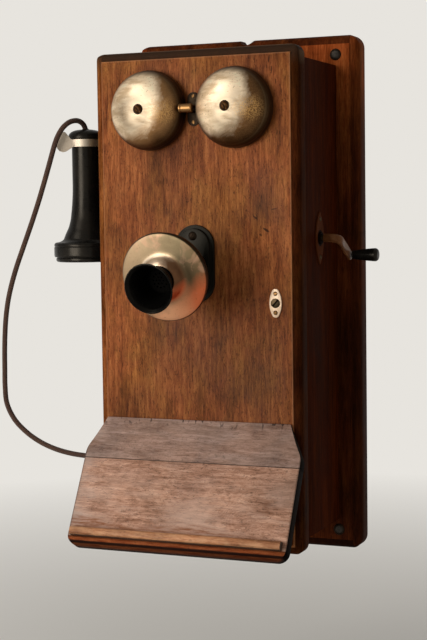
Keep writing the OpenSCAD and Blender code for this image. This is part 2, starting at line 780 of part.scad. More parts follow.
// Two bobbins on the cores
module ringer_coils() color("darkgreen")
    for (s = [-1, 1]) translate([s * coil_x, yoke_y, bell_z]) rotate([90, 0, 0])
        rotate_extrude() polygon([
            [core_r, 0], [coil_r + 1.5, 0], [coil_r + 1.5, 2], [coil_r, 2],
            [coil_r, coil_len - 3], [coil_r + 1.5, coil_len - 3], [coil_r + 1.5, coil_len - 1],
            [core_r, coil_len - 1]]);

// Bar magnet from the yoke forward over the coils
module ringer_magnet() color("firebrick")
    block([-8, 8], [coil_y0, yoke_y + yoke_t], [bell_z + 14, bell_z + 20]);

// Clapper: soft iron armature on the pivot, with the rod through the door
module clapper_armature() color("gray") difference() {
    union() {
        block([-30, 30], [armature_y - armature_t / 2, armature_y + armature_t / 2],
              [bell_z - 5, bell_z + 5]);
        z_rod(4, bell_z - 6, bell_z + 6, 0, armature_y);
        y_rod(rod_r, hammer_y, armature_y - 1, 0, bell_z);
    }
    z_rod(1.5 + run_gap, bell_z - 8, bell_z + 8, 0, armature_y);
}

module clapper_hammer() color("gold") difference() {
    translate([-hammer_w / 2, hammer_y, bell_z]) rotate([0, 90, 0]) rotate_extrude()
        polygon([[0, 0], [hammer_r - 0.7, 0], [hammer_r, 0.7], [hammer_r, hammer_w - 0.7],
                 [hammer_r - 0.7, hammer_w], [0, hammer_w]]);
    y_rod(rod_r, hammer_y, hammer_y + 2 * hammer_r, 0, bell_z);
}

// Oval base with a raised rim, two ears and the pivot pin between them
module transmitter_base() color("#222222") {
    y_plate(door_face - 3, door_face) translate([0, base_z]) stadium(base_r, base_h);
    y_plate(door_face - base_t, door_face - 3) translate([0, base_z])
        stadium(base_r - 3.5, base_h - 7);
    for (s = [-1, 1]) translate([s * (tongue_w / 2 + 3.3), 0, 0]) {
        block([-3, 3], [pivot_y, door_face - base_t], [pivot_z - 8, pivot_z + 8]);
        x_rod(8, -3, 3, pivot_y, pivot_z);
    }
    x_rod(pivot_r, -(tongue_w / 2 + 7.5), tongue_w / 2 + 7.5, pivot_y, pivot_z);
}

// Tilted frame of the transmitter; the axis points forward along -Y
module at_transmitter() translate([0, pivot_y, pivot_z]) rotate([face_tilt, 0, 0]) children();
// Revolved form about the transmitter's axis: [radius, distance in front of the pivot]
module transmitter_turned() at_transmitter() rotate([90, 0, 0]) rotate_extrude($fn = 96)
    children();

module transmitter_arm() color("#222222") at_transmitter() difference() {
    union() {
        x_rod(7, -tongue_w / 2, tongue_w / 2, 0, 0);
        block([-tongue_w / 2, tongue_w / 2], [cup_back + 2, 0], [-6, 6]);
        y_rod(14, cup_back, cup_back + 2.5, 0, 0);
    }
    x_rod(pivot_r + run_gap, -tongue_w, tongue_w, 0, 0);
}

// Back shell of the transmitter
module transmitter_cup() color("#222222") transmitter_turned() polygon([
    [0, -cup_back], [16, -cup_back], [24, -cup_back + 1.5], [cup_r - 5, -cup_back + 8],
    [cup_r, -cup_back + 13], [cup_r, face_out - 2.6], [cup_r - 2.5, face_out - 2.6],
    [cup_r - 2.5, -cup_back + 14], [cup_r - 7, -cup_back + 10.5], [24, -cup_back + 4],
    [9, -cup_back + 3], [0, -cup_back + 3]]);

// Face plate: flat rim, shallow cone and a domed collar for the mouthpiece
module transmitter_face() color("silver") transmitter_turned() polygon([
    [mouth_neck_r, collar_out], [16.4, collar_out - 0.4], [18.6, collar_out - 2],
    [20.2, collar_out - 4.6], [collar_r, face_out + 4.4], [collar_r + 2, face_out + 3.2],
    [face_r - 3, face_out + 0.6], [face_r - 0.8, face_out], [face_r, face_out - 0.9],
    [face_r, face_out - 2.6], [face_r - 5, face_out - 2.6], [face_r - 5, face_out - 1],
    [collar_r, face_out + 1.4], [18, collar_out - 6], [mouth_neck_r, collar_out - 5]]);

// Carbon button and its bridge inside the cup
module transmitter_button() color("darkgoldenrod") transmitter_turned() polygon([
    [0, -cup_back + 3], [8, -cup_back + 3], [8, -cup_back + 6], [15, -cup_back + 6],
    [15, -cup_back + 13], [3, -cup_back + 13], [3, face_out - 1.2], [0, face_out - 1.2]]);

// Horn of the mouthpiece: thin wall, flaring to the mouth, with a pierced disc in its neck
function horn_r(t) = mouth_neck_r + (mouth_r - mouth_neck_r) * (0.32 * t + 0.68 * pow(t, 2.1));
function horn(n, inset) = [
    [mouth_neck_r - inset, mouth_base],
    for (i = [0 : n]) [horn_r(i / n) - inset, horn_start + (mouth_y - horn_start) * i / n]
];
module mouthpiece() color("#181818") difference() {
    transmitter_turned() {
        polygon(concat(horn(12, 0), [for (i = [13 : -1 : 0]) horn(12, mouth_t)[i]]));
        translate([0, mouth_base]) square([mouth_neck_r - mouth_t / 2, 2]);
    }
    at_transmitter() for (a = [0 : 60 : 300])
        rotate([0, a, 0]) y_rod(1.4, -mouth_base - 5, -mouth_base + 5, 5.6, 0);
    at_transmitter() y_rod(1.4, -mouth_base - 5, -mouth_base + 5, 0, 0);
}

// Frame of the sloping shelf: x across, -z down the slope, y into the boards
module on_slope() translate([0, door_face - 2.4, shelf_top_z]) rotate([-shelf_slope, 0, 0])
    children();

// Face outline of the shelf, with coves below the top edge and round lower corners
module shelf_outline() difference() {
    union() {
        translate([-shelf_w / 2, -shelf_len + shelf_corner_r])
            square([shelf_w, shelf_len - shelf_corner_r]);
        translate([-shelf_w / 2 + shelf_corner_r, -shelf_len])
            square([shelf_w - 2 * shelf_corner_r, shelf_len]);
        for (s = [-1, 1])
            translate([s * (shelf_w / 2 - shelf_corner_r), -shelf_len + shelf_corner_r])
                circle(shelf_corner_r);
    }
    for (s = [-1, 1]) translate([s * (shelf_top_w / 2 + cove_r), 0]) circle(cove_r);
}

// The two shelf boards together: outline, rounded lower nose and a bevel against the door
module shelf_body() difference() {
    on_slope() intersection() {
        y_plate(0, shelf_t) shelf_outline();
        translate([shelf_w / 2, 0, 0]) rotate([0, -90, 0]) linear_extrude(shelf_w) {
            translate([-shelf_len + shelf_nose_r, 0])
                square([shelf_len - shelf_nose_r, shelf_t]);
            translate([-shelf_len, shelf_nose_r]) square([shelf_len, shelf_t - shelf_nose_r]);
            translate([-shelf_len + shelf_nose_r, shelf_nose_r]) circle(shelf_nose_r);
        }
    }
    block([-shelf_w, shelf_w], [door_face, 0], [-2 * shelf_len + shelf_top_z, shelf_top_z + 40]);
}

module shelf_upper_plank() color("rosybrown") difference() {
    shelf_body();
    on_slope() block([-shelf_w, shelf_w], [-shelf_t, 2 * shelf_t],
                     [-2 * shelf_len, -upper_plank]);
}

module shelf_lower_plank() color("rosybrown") difference() {
    shelf_body();
    on_slope() block([-shelf_w, shelf_w], [-shelf_t, 3 * shelf_t], [-upper_plank, shelf_len]);
}

// Pencil ledge: a strip with a rounded outer edge across the foot of the shelf
module pencil_ledge() color("peru") on_slope()
    translate([shelf_w / 2 - ledge_inset, 0, 0]) rotate([0, -90, 0])
        linear_extrude(shelf_w - 2 * ledge_inset) polygon([
            [-ledge_at, 0], [-ledge_at - 0.8, -ledge_h + 1.6], [-ledge_at - 2.4, -ledge_h],
            [-ledge_at - ledge_w + 2, -ledge_h], [-ledge_at - ledge_w, -ledge_h + 2],
            [-ledge_at - ledge_w, 0]]);

// Wedge brackets that fill the angle between door and shelf near each side
module shelf_brackets() color("saddlebrown") difference() {
    bracket_x = side_x - bracket_inset;
    for (s = [-1, 1]) translate([s * (bracket_x - bracket_t / 2), 0, 0])
        block([-bracket_t / 2, bracket_t / 2], [door_face - shelf_len, door_face],
              [shelf_top_z - shelf_len + 16, shelf_top_z]);
    on_slope() block([-shelf_w, shelf_w], [-2 * shelf_len, shelf_t],
                     [-2 * shelf_len, 2 * shelf_len]);
    // Cove under the bracket's toe
    x_rod(17, -shelf_w, shelf_w, door_face - 38, shelf_top_z - shelf_len + 14);
}

module crank_shaft() color("goldenrod")
    x_rod(crank_shaft_r, magneto_x0 - 4, elbow_x, -crank_y, crank_z);

// Spur gear outline with rounded-off trapezoid teeth
module gear_outline(teeth, m, backlash) {
    root = m * (teeth / 2 - 1.2);
    pitch = m * teeth / 2;
    tip = m * (teeth / 2 + 0.95);
    half = (m * 3.14159 / 4 - backlash);
    circle(root, $fn = teeth * 2);
    for (i = [0 : teeth - 1]) rotate(360 * i / teeth)
        polygon([[root - 1, -half * 1.5], [root, -half * 1.5], [pitch, -half], [tip, -half * 0.5],
                 [tip, half * 0.5], [pitch, half], [root, half * 1.5], [root - 1, half * 1.5]]);
}

// Drive wheel with five holes in its web
module drive_gear() color("gold") difference() {
    translate([wheel_x, -crank_y, crank_z]) rotate([90, 0, 90]) linear_extrude(wheel_w)
        difference() {
            gear_outline(wheel_teeth, gear_module, 0.12);
            for (i = [0 : 4]) rotate(72 * i) translate([wheel_teeth * gear_module * 0.29, 0])
                circle(wheel_teeth * gear_module * 0.1);
        }
    x_rod(crank_shaft_r, wheel_x - 1, wheel_x + wheel_w + 1, -crank_y, crank_z);
}

module armature_pinion() color("gold") difference() {
    translate([wheel_x - 1, -crank_y, arm_z]) rotate([90, 0, 90]) linear_extrude(wheel_w + 2)
        rotate(90 + 180 / pinion_teeth)
            gear_outline(pinion_teeth, gear_module, 0.12);
    x_rod(armature_shaft_r, wheel_x - 2, wheel_x + wheel_w + 2, -crank_y, arm_z);
}

// Crank frame: the arm points to -Z before it is turned to its resting angle
module at_crank() translate([crank_x, -crank_y, crank_z]) rotate([crank_angle, 0, 0]) children();

// Arm: a socket on the shaft, an elbow, a flat strap, and the pin for the grip at its end
module crank_arm() color("darkgoldenrod") at_crank() {
    translate([elbow_x - crank_x, 0, 0]) {
        difference() {
            x_rod(crank_shaft_r + 0.9, -7, 0, 0, 0);
            x_rod(crank_shaft_r, -8, 0, 0, 0);
        }
        translate([0, 0, -elbow_r]) rotate([90, 0, 0]) rotate_extrude(angle = 90)
            translate([elbow_r, 0]) circle(crank_shaft_r + 0.9);
    }
    rotate([90, 0, 90]) linear_extrude(crank_arm_t) {
        polygon([[-3.6, -elbow_r + 3], [-4.9, -crank_arm_r * 0.5], [-4.8, -crank_arm_r],
                 [4.8, -crank_arm_r], [4.9, -crank_arm_r * 0.5], [3.6, -elbow_r + 3]]);
        translate([0, -crank_arm_r]) circle(5.4);
    }
    x_rod(grip_pin_r, crank_arm_t - 1, crank_arm_t + grip_len - 1.5, 0, -crank_arm_r);
    x_rod(3.6, crank_arm_t - 1, crank_arm_t + 1, 0, -crank_arm_r);
}

// Turned grip, free to spin on its pin
module crank_grip() color("#181818") at_crank()
    translate([crank_arm_t + 1 + seat_gap, 0, -crank_arm_r]) rotate([0, 90, 0])
        rotate_extrude() polygon([
            [grip_pin_r + run_gap, 0], [grip_r - 1.8, 0], [grip_r - 0.9, 1.2],
            [grip_r - 0.5, grip_len * 0.3], [grip_r, grip_len * 0.75], [grip_r, grip_len - 3],
            [grip_r - 1.2, grip_len - 0.6], [grip_r - 3, grip_len], [0, grip_len],
            [0, grip_len - 2], [grip_pin_r + run_gap, grip_len - 2]]);

// Shuttle armature: drum with two winding slots, on its shaft
module armature_core() color("slategray") {
    core_x0 = magnets_x0 + 2;
    core_x1 = magneto_x1 - magneto_t - 2;
    difference() {
        x_rod(armature_r, core_x0, core_x1, -crank_y, arm_z);
        for (s = [-1, 1]) translate([0, -crank_y, arm_z + s * (armature_r / 2 + 4)])
            block([core_x0 + 3, core_x1 - 3], [-armature_r * 0.52, armature_r * 0.52],
                  [-armature_r / 2, armature_r / 2]);
    }
    x_rod(armature_shaft_r, magneto_x0 - 3, wheel_x + wheel_w + 1.5, -crank_y, arm_z);
}

module armature_winding() color("chocolate") {
    wind_x0 = magnets_x0 + 5;
    wind_x1 = magneto_x1 - magneto_t - 5;
    for (s = [-1, 1]) intersection() {
        x_rod(armature_r - 1, wind_x0, wind_x1, -crank_y, arm_z);
        translate([0, -crank_y, arm_z + s * (armature_r / 2 + 4)])
            block([wind_x0, wind_x1], [-armature_r * 0.52, armature_r * 0.52],
                  [-armature_r / 2, armature_r / 2]);
    }
}

// Leaf at the end of a prong: x runs back into the prong, y is up
module fork_leaf() polygon([
    [3, -2.9], [-0.4, -3.2], [-3, -4.4], [-9.2, -8.4], [-12.4, -9.2], [-16.1, -8], [-18.4, -5],
    [-19.1, -1.5], [-18.4, 1.6], [-12.8, 10.6], [-11.5, 11.4], [-9.8, 11], [-4.8, 4.6],
    [-4, 3.5], [0.4, 3], [3, 2.9]]);

// Fork lever: bar through the cabinet's side, half ring round the neck, and flared tips
module hook_fork() color("silver") difference() {
    union() {
        translate([rx, ry, fork_z - fork_h]) linear_extrude(fork_h) difference() {
            union() {
                circle(fork_r + fork_t);
                translate([-prong, -fork_r - fork_t]) square([prong, 2 * (fork_r + fork_t)]);
            }
            circle(fork_r);
            translate([-2 * fork_r, -fork_r]) square([2 * fork_r, 2 * fork_r]);
        }
        // Leaves, turned outwards
        for (s = [-1, 1]) translate([rx - prong + 1.5, ry + s * (fork_r + fork_t / 2), lever_z])
            rotate([0, 0, -s * 22]) y_plate(-fork_t * 0.45, fork_t * 0.45) fork_leaf();
        // Lever bar, its hub and its tail
        block([rx + fork_r + fork_t / 2, hook_pivot_x + 4], [ry - lever_t / 2, ry + lever_t / 2],
              [fork_z - fork_h + 0.4, fork_z - 0.4]);
        y_rod(5.6, ry - 4.4, ry + 4.4, hook_pivot_x, lever_z);
        block([hook_pivot_x + 2, hook_pivot_x + 13.2], [ry - lever_t / 2, ry + lever_t / 2],
              [lever_z - 2.8, lever_z + 2.8]);
        block([hook_pivot_x + 10, hook_pivot_x + 13.2], [ry - lever_t / 2, ry + lever_t / 2],
              [lever_z - 22, lever_z + 1]);
    }
    y_rod(hook_pin_r + run_gap, ry - 8, ry + 8, hook_pivot_x, lever_z);
}

// Revolved form about the receiver's axis, heights measured from the ear cap's lower face
module receiver_turned() translate([rx, ry, ear_z]) rotate_extrude() children();

// Handle shell: neck and flare, with the flange that the ear cap screws over
module receiver_shell() color("#1c1c1c") receiver_turned() polygon([
    [neck_r - shell_t, receiver_len], [neck_r, receiver_len], [neck_r, receiver_len - 52],
    [neck_r + 0.7, taper_z], [neck_r + 2.6, waist_z], [neck_r + 5, flare_z],
    [neck_r + 7.6, flare_z - 5],
    [neck_r + 10.3, 22.6], [ear_cap_r - 5, 20.6], [ear_cap_r - 4.2, 19],
    [ear_cap_r - 4.2, 7.4], [ear_cap_r - 7.4, 7.4], [ear_cap_r - 7.4, 17], [neck_r + 6, 20],
    [neck_r + 1.8, flare_z - 0.6], [neck_r - 0.8, waist_z], [neck_r - shell_t, taper_z]]);

module receiver_ear_cap() color("#1c1c1c") receiver_turned() polygon([
    [8.5, 2.6], [14, 1.6], [ear_cap_r - 10, 0.4], [ear_cap_r - 3, 0], [ear_cap_r - 0.8, 0.8],
    [ear_cap_r, 3], [ear_cap_r, 18], [ear_cap_r - 0.8, 19.6], [ear_cap_r - 2.4, 20.2],
    [ear_cap_r - 4.2, 20.2], [ear_cap_r - 4.2, 6.4], [8.5, 6.4]]);

module receiver_top_cap() color("#1c1c1c") receiver_turned() polygon([
    [0, receiver_len], [top_cap_r - 0.6, receiver_len], [top_cap_r, receiver_len + 0.8],
    [top_cap_r, receiver_len + 5.4], [top_cap_r - 1.6, receiver_len + 7.4],
    [top_cap_r - 6, receiver_len + 9], [6, receiver_len + 10], [0, receiver_len + 10]]);

module receiver_diaphragm() color("gray") receiver_turned()
    translate([0, 6.4]) square([ear_cap_r - 4.6, 1]);

// Long U magnet down the handle with a coil on each pole
module receiver_magnet() color("firebrick") translate([rx, ry, ear_z]) {
    for (s = [-1, 1]) {
        translate([s * 6 - 2, -4, 20]) cube([4, 8, receiver_len - 24]);
        translate([s * 9, 0, 9]) cylinder(h = 11, r = 7);
        translate([s * 9, 0, 8]) cylinder(h = 2, r = 3);
    }
    translate([-8, -4, receiver_len - 8]) cube([16, 8, 8]);
    translate([-16, -6, 19]) cube([32, 12, 3]);
}

backboard();
cabinet_side_left();
cabinet_side_right();
cabinet_top();
cabinet_bottom();
magneto_shelf();
cabinet_hinge_leaves();
hinge_pins();
strike_plate();
crank_escutcheon();
magneto_frame();
magneto_magnets();
magneto_pole_shoes();
hook_bracket();
hook_contact_springs();
induction_coil();
terminal_strip();
binding_posts();
dry_cells();
cell_terminals();
cord_bushing();
receiver_cord();
door_panel();
door_hinge_leaves();
lock_escutcheon();
gong_left();
gong_right();
gong_posts();
clapper_plate();
ringer_frame();
ringer_coils();
ringer_magnet();
transmitter_base();
shelf_upper_plank();
shelf_lower_plank();
pencil_ledge();
shelf_brackets();
lock_spindle();
lock_cam();
clapper_armature();
clapper_hammer();
transmitter_arm();
transmitter_cup();
transmitter_face();
transmitter_button();
mouthpiece();
crank_shaft();
drive_gear();
crank_arm();
crank_grip();
armature_core();
armature_winding();
armature_pinion();
hook_fork();
receiver_shell();
receiver_ear_cap();
receiver_top_cap();
receiver_diaphragm();
receiver_magnet();
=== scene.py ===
import math
from contextlib import contextmanager
from functools import partial
import bmesh
import bpy
from mathutils import Matrix, Vector


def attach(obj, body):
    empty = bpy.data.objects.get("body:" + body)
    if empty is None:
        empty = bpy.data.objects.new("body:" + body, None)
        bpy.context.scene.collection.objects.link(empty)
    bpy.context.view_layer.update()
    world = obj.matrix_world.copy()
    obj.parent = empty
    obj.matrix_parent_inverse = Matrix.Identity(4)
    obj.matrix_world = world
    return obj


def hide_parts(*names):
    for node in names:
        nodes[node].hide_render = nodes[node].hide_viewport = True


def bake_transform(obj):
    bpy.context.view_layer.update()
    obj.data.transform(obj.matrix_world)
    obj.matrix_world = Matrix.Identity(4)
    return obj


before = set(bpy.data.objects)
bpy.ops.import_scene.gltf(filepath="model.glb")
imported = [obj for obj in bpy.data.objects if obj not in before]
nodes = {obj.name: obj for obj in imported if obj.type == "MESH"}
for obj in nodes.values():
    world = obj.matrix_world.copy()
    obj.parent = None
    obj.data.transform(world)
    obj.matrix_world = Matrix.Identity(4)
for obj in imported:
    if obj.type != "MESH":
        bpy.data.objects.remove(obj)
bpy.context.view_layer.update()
mm = 0.001
print("frame loaded:", len(nodes), "nodes")

# places that several pieces share, in mm
at = {"doorFace": -157.1, "bellX": 43.9, "bellZ": 182.4, "lockX": 81.0, "lockZ": -0.9, "crankY": -80.0, "crankZ": 58.3}


# ---- small helpers for meshes ----

def link(obj):
    bpy.context.scene.collection.objects.link(obj)
    return obj


def newObject(name, verts, faces=(), edges=()):
    mesh = bpy.data.meshes.new(name)
    mesh.from_pydata(verts, edges, faces)
    mesh.update()
    return link(bpy.data.objects.new(name, mesh))


@contextmanager
def editing(obj):
    bm = bmesh.new()
    bm.from_mesh(obj.data)
    yield bm
    bm.to_mesh(obj.data)
    bm.free()


def cleanNormals(obj, merge=1e-6):
    with editing(obj) as bm:
        bmesh.ops.remove_doubles(bm, verts=bm.verts, dist=merge)
        bmesh.ops.recalc_face_normals(bm, faces=bm.faces)


def shade(obj, angle=38):
    obj.data.polygons.foreach_set("use_smooth", [True] * len(obj.data.polygons))
    obj.data.set_sharp_from_angle(angle=math.radians(angle))


def bakeModifiers(obj):
    bpy.context.view_layer.update()
    graph = bpy.context.evaluated_depsgraph_get()
    mesh = bpy.data.meshes.new_from_object(obj.evaluated_get(graph))
    obj.modifiers.clear()
    obj.data = mesh


def roundEdges(obj, width, corners):
    bevel = obj.modifiers.new("ease", "BEVEL")
    bevel.width = width * mm
    bevel.segments = 2
    bevel.limit_method = "ANGLE"
    bevel.angle_limit = math.radians(32)
    bevel.miter_outer = corners
    bakeModifiers(obj)


def settle(obj, body, slotName, material, *stands):
    obj.data.materials.clear()
    obj.data.materials.append(material)
    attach(obj, body)
    if stands:
        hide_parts(*stands)


# a place in mm, with a turn in degrees about one axis
def placed(x, y, z, turn=0, axis="X"):
    return Matrix.Translation(Vector((x, y, z)) * mm) @ Matrix.Rotation(math.radians(turn), 4, axis)


# a point of a quadratic curve, a share of the way along it
def curvePoint(start, control, end, share):
    return tuple(a * (1 - share) ** 2 + b * 2 * share * (1 - share) + c * share ** 2
                 for a, b, c in zip(start, control, end))


# profile points are (radius, height, fillet) in mm; a point without a fillet keeps its corner
def filleted(points, steps):
    out = []
    for i, p in enumerate(points):
        if len(p) < 3 or i in (0, len(points) - 1):
            out.append(p[:2])
            continue
        before, here, after = (Vector(points[k][:2]) for k in (i - 1, i, i + 1))
        a, b = before - here, after - here
        cut = min(p[2], a.length * 0.48, b.length * 0.48)
        start, end = here + a.normalized() * cut, here + b.normalized() * cut
        out += [curvePoint(start, here, end, k / steps) for k in range(steps + 1)]
    return out


# turns a profile about local Z; a radius of 0 becomes a pole
def lathe(name, points, place, segments=96, loop=False, steps=5):
    verts, rings = [], []
    for r, h in filleted(points, steps):
        if r < 1e-4:
            rings.append([len(verts)])
            verts.append((0, 0, h * mm))
        else:
            rings.append(list(range(len(verts), len(verts) + segments)))
            for k in range(segments):
                a = 2 * math.pi * k / segments
                verts.append((r * mm * math.cos(a), r * mm * math.sin(a), h * mm))
    faces = []
    for a, b in list(zip(rings, rings[1:])) + ([(rings[-1], rings[0])] if loop else []):
        for k in range(segments):
            n = (k + 1) % segments
            if len(a) == 1 and len(b) == 1:
                break
            if len(a) == 1:
                faces.append((a[0], b[k], b[n]))
            elif len(b) == 1:
                faces.append((a[k], a[n], b[0]))
            else:
                faces.append((a[k], a[n], b[n], b[k]))
    obj = newObject(name, verts, faces)
    obj.data.transform(place)
    cleanNormals(obj)
    shade(obj)
    return obj


# faces of quads between rings of equal count that follow each other
def quads(rings, count, close=False):
    pairs = [(i, (i + 1) % rings) for i in range(rings if close else rings - 1)]
    return [(i * count + k, i * count + (k + 1) % count, j * count + (k + 1) % count, j * count + k)
            for i, j in pairs for k in range(count)]


# a merged copy of a CAD node with its edges slightly rounded
def eased(node, width):
    obj = link(bpy.data.objects.new(node + "_dressed", nodes[node].data.copy()))
    obj.data.materials.clear()
    custom = obj.data.attributes.get("custom_normal")
    if custom:
        obj.data.attributes.remove(custom)
    with editing(obj) as bm:
        bmesh.ops.remove_doubles(bm, verts=bm.verts, dist=2e-6)
        bmesh.ops.dissolve_limit(bm, angle_limit=math.radians(0.6), verts=bm.verts, edges=bm.edges)
        for part in (*bm.faces, *bm.edges):
            part.smooth = True
    if width:
        roundEdges(obj, width, "MITER_ARC")
    shade(obj, 40)
    return obj


# ---- small helpers for node trees, which add to the tree begun last ----

begun = {"tree": None}


def feed(socket, value):
    if isinstance(value, bpy.types.Node):
        value = value.outputs[0]
    if isinstance(value, bpy.types.NodeSocket):
        begun["tree"].links.new(value, socket)
    else:
        socket.default_value = (*value, 1) if socket.type == "RGBA" and len(value) == 3 else value


def addNode(kind, feeds=None, **settings):
    made = begun["tree"].nodes.new(kind)
    for key, value in settings.items():
        setattr(made, key, value)
    for key, value in (feeds or {}).items():
        feed(made.inputs[key], value)
    return made


def calc(operation, *values, clamp=False):
    return addNode("ShaderNodeMath", dict(enumerate(values)), operation=operation, use_clamp=clamp).outputs[0]


add, sub, mul, mulAdd, power, larger, absolute = (
    partial(calc, name) for name in ("ADD", "SUBTRACT", "MULTIPLY", "MULTIPLY_ADD", "POWER", "MAXIMUM", "ABSOLUTE"))


# sum of (value, weight) pairs
def weighted(*pairs):
    first = mul(*pairs[0])
    return add(first, weighted(*pairs[1:])) if pairs[1:] else first


def hypotenuse(a, b):
    return calc("SQRT", add(power(a, 2.0), power(b, 2.0)))


def vectorMath(operation, *values):
    return addNode("ShaderNodeVectorMath", dict(enumerate(values)), operation=operation)


def measure(operation, *values):
    return vectorMath(operation, *values).outputs["Value"]


def blend(factor, a, b, mode="MIX"):
    return addNode("ShaderNodeMix", {0: factor, 6: a, 7: b}, data_type="RGBA", blend_type=mode).outputs[2]


def tinted(colour, tint):
    return blend(1.0, colour, tint, "MULTIPLY")


def grey(v):
    return (v, v, v)


def scaled(values, factor):
    return tuple(v * factor for v in values)


def dim(factor, colour, share):
    return blend(factor, colour, tinted(colour, grey(share)))


def ramp(factor, *stops):
    made = addNode("ShaderNodeValToRGB", {0: factor})
    elements = made.color_ramp.elements
    while len(elements) < len(stops):
        elements.new(0.5)
    for element, (place, colour) in zip(elements, stops):
        element.position = place
        element.color = (*colour, 1)
    return made.outputs[0]


def spread(value, low, high, outLow=0.0, outHigh=1.0):
    return addNode("ShaderNodeMapRange", {0: value, 1: low, 2: high, 3: outLow, 4: outHigh}, clamp=True).outputs[0]


def noise(place, scale, detail, rough, distortion=0.0):
    return addNode("ShaderNodeTexNoise", {
        "Vector": place, "Scale": scale, "Detail": detail, "Roughness": rough, "Distortion": distortion}).outputs["Fac"]


def stretched(place, scale=(1, 1, 1), shift=(0, 0, 0), turn=(0, 0, 0)):
    return addNode("ShaderNodeMapping", {
        "Vector": place, "Location": shift, "Rotation": turn, "Scale": scale}).outputs[0]


def vector(x, y, z):
    return addNode("ShaderNodeCombineXYZ", {0: x, 1: y, 2: z}).outputs[0]


def splitVector(v):
    return addNode("ShaderNodeSeparateXYZ", {0: v}).outputs


def newMaterial(name):
    material = bpy.data.materials.new(name)
    material.use_nodes = True
    begun["tree"] = material.node_tree
    material.node_tree.nodes.clear()
    surface = addNode("ShaderNodeBsdfPrincipled")
    feed(addNode("ShaderNodeOutputMaterial").inputs[0], surface)
    return material, surface, addNode("ShaderNodeTexCoord").outputs["Object"]


# relief: (height, strength, distance)
def paint(surface, colour, rough, relief, others=None):
    bump = addNode("ShaderNodeBump", dict(zip(("Height", "Strength", "Distance"), relief)))
    for name, value in {"Base Color": colour, "Roughness": rough, "Normal": bump, **(others or {})}.items():
        feed(surface.inputs[name], value)


def newTree(name, inputs):
    tree = begun["tree"] = bpy.data.node_groups.new(name, "GeometryNodeTree")
    for way in ("INPUT", "OUTPUT"):
        tree.interface.new_socket("Geometry", in_out=way, socket_type="NodeSocketGeometry")
    for label, value in inputs.items():
        kind = "NodeSocketInt" if isinstance(value, int) else "NodeSocketFloat"
        tree.interface.new_socket(label, in_out="INPUT", socket_type=kind).default_value = value
    tree.interface.new_socket("Finish", in_out="INPUT", socket_type="NodeSocketMaterial")
    return addNode("NodeGroupInput").outputs


def closeTree(geometry, given):
    whole = addNode("GeometryNodeRealizeInstances", {0: geometry})
    made = addNode("GeometryNodeSetMaterial", {"Geometry": whole, "Material": given["Finish"]})
    feed(addNode("NodeGroupOutput").inputs[0], made)
    return begun["tree"]


def runTree(obj, tree, values):
    modifier = obj.modifiers.new("tree", "NODES")
    modifier.node_group = tree
    for item in tree.interface.items_tree:
        if item.in_out == "INPUT" and item.name in values:
            modifier[item.identifier] = values[item.name]
    bakeModifiers(obj)


# ---- camera, as the photograph saw the telephone ----

cameraSet = {"place": (574.2, -1489.3, 84.0), "yaw": -22.6807, "pitch": -4.0247, "roll": -0.7760, "lens": 85.5}
yaw, pitch, roll = (math.radians(cameraSet[k]) for k in ("yaw", "pitch", "roll"))
ahead = Vector((math.sin(yaw) * math.cos(pitch), math.cos(yaw) * math.cos(pitch), math.sin(pitch)))
right = Vector((math.cos(yaw), -math.sin(yaw), 0))
above = right.cross(ahead)
rightRolled = right * math.cos(roll) + above * math.sin(roll)
aboveRolled = above * math.cos(roll) - right * math.sin(roll)
cameraData = bpy.data.cameras.new("camera")
cameraData.lens = cameraSet["lens"]
cameraData.sensor_width = 36
cameraData.clip_start = 0.05
cameraData.clip_end = 100
camera = link(bpy.data.objects.new("camera", cameraData))
turn = Matrix((rightRolled, aboveRolled, -ahead)).transposed().to_4x4()
camera.matrix_world = placed(*cameraSet["place"]) @ turn
bpy.context.scene.camera = camera
print("camera placed")


# ---- wood ----

# above 0 outside a board's flat middle, where the moulded border begins
def borderMask(coords, halfX, halfZ):
    xyz = splitVector(coords)
    return larger(sub(absolute(xyz[0]), halfX), sub(absolute(xyz[2]), halfZ)), xyz


# soft ovals, each (x, z, half width, half height, lean in degrees, strength), seen from the front
def ovals(coords, spots, softness):
    total = None
    for x, z, wide, high, lean, strength in spots:
        local = addNode("ShaderNodeMapping", {
            "Vector": coords, "Location": (x * mm, 0, z * mm), "Rotation": (0, math.radians(lean), 0),
            "Scale": (wide * mm, 100.0, high * mm)}, vector_type="TEXTURE")
        spot = spread(measure("LENGTH", local), 1 + softness / 2, 1 - softness / 2, 0.0, strength)
        total = spot if total is None else larger(total, spot)
    return total


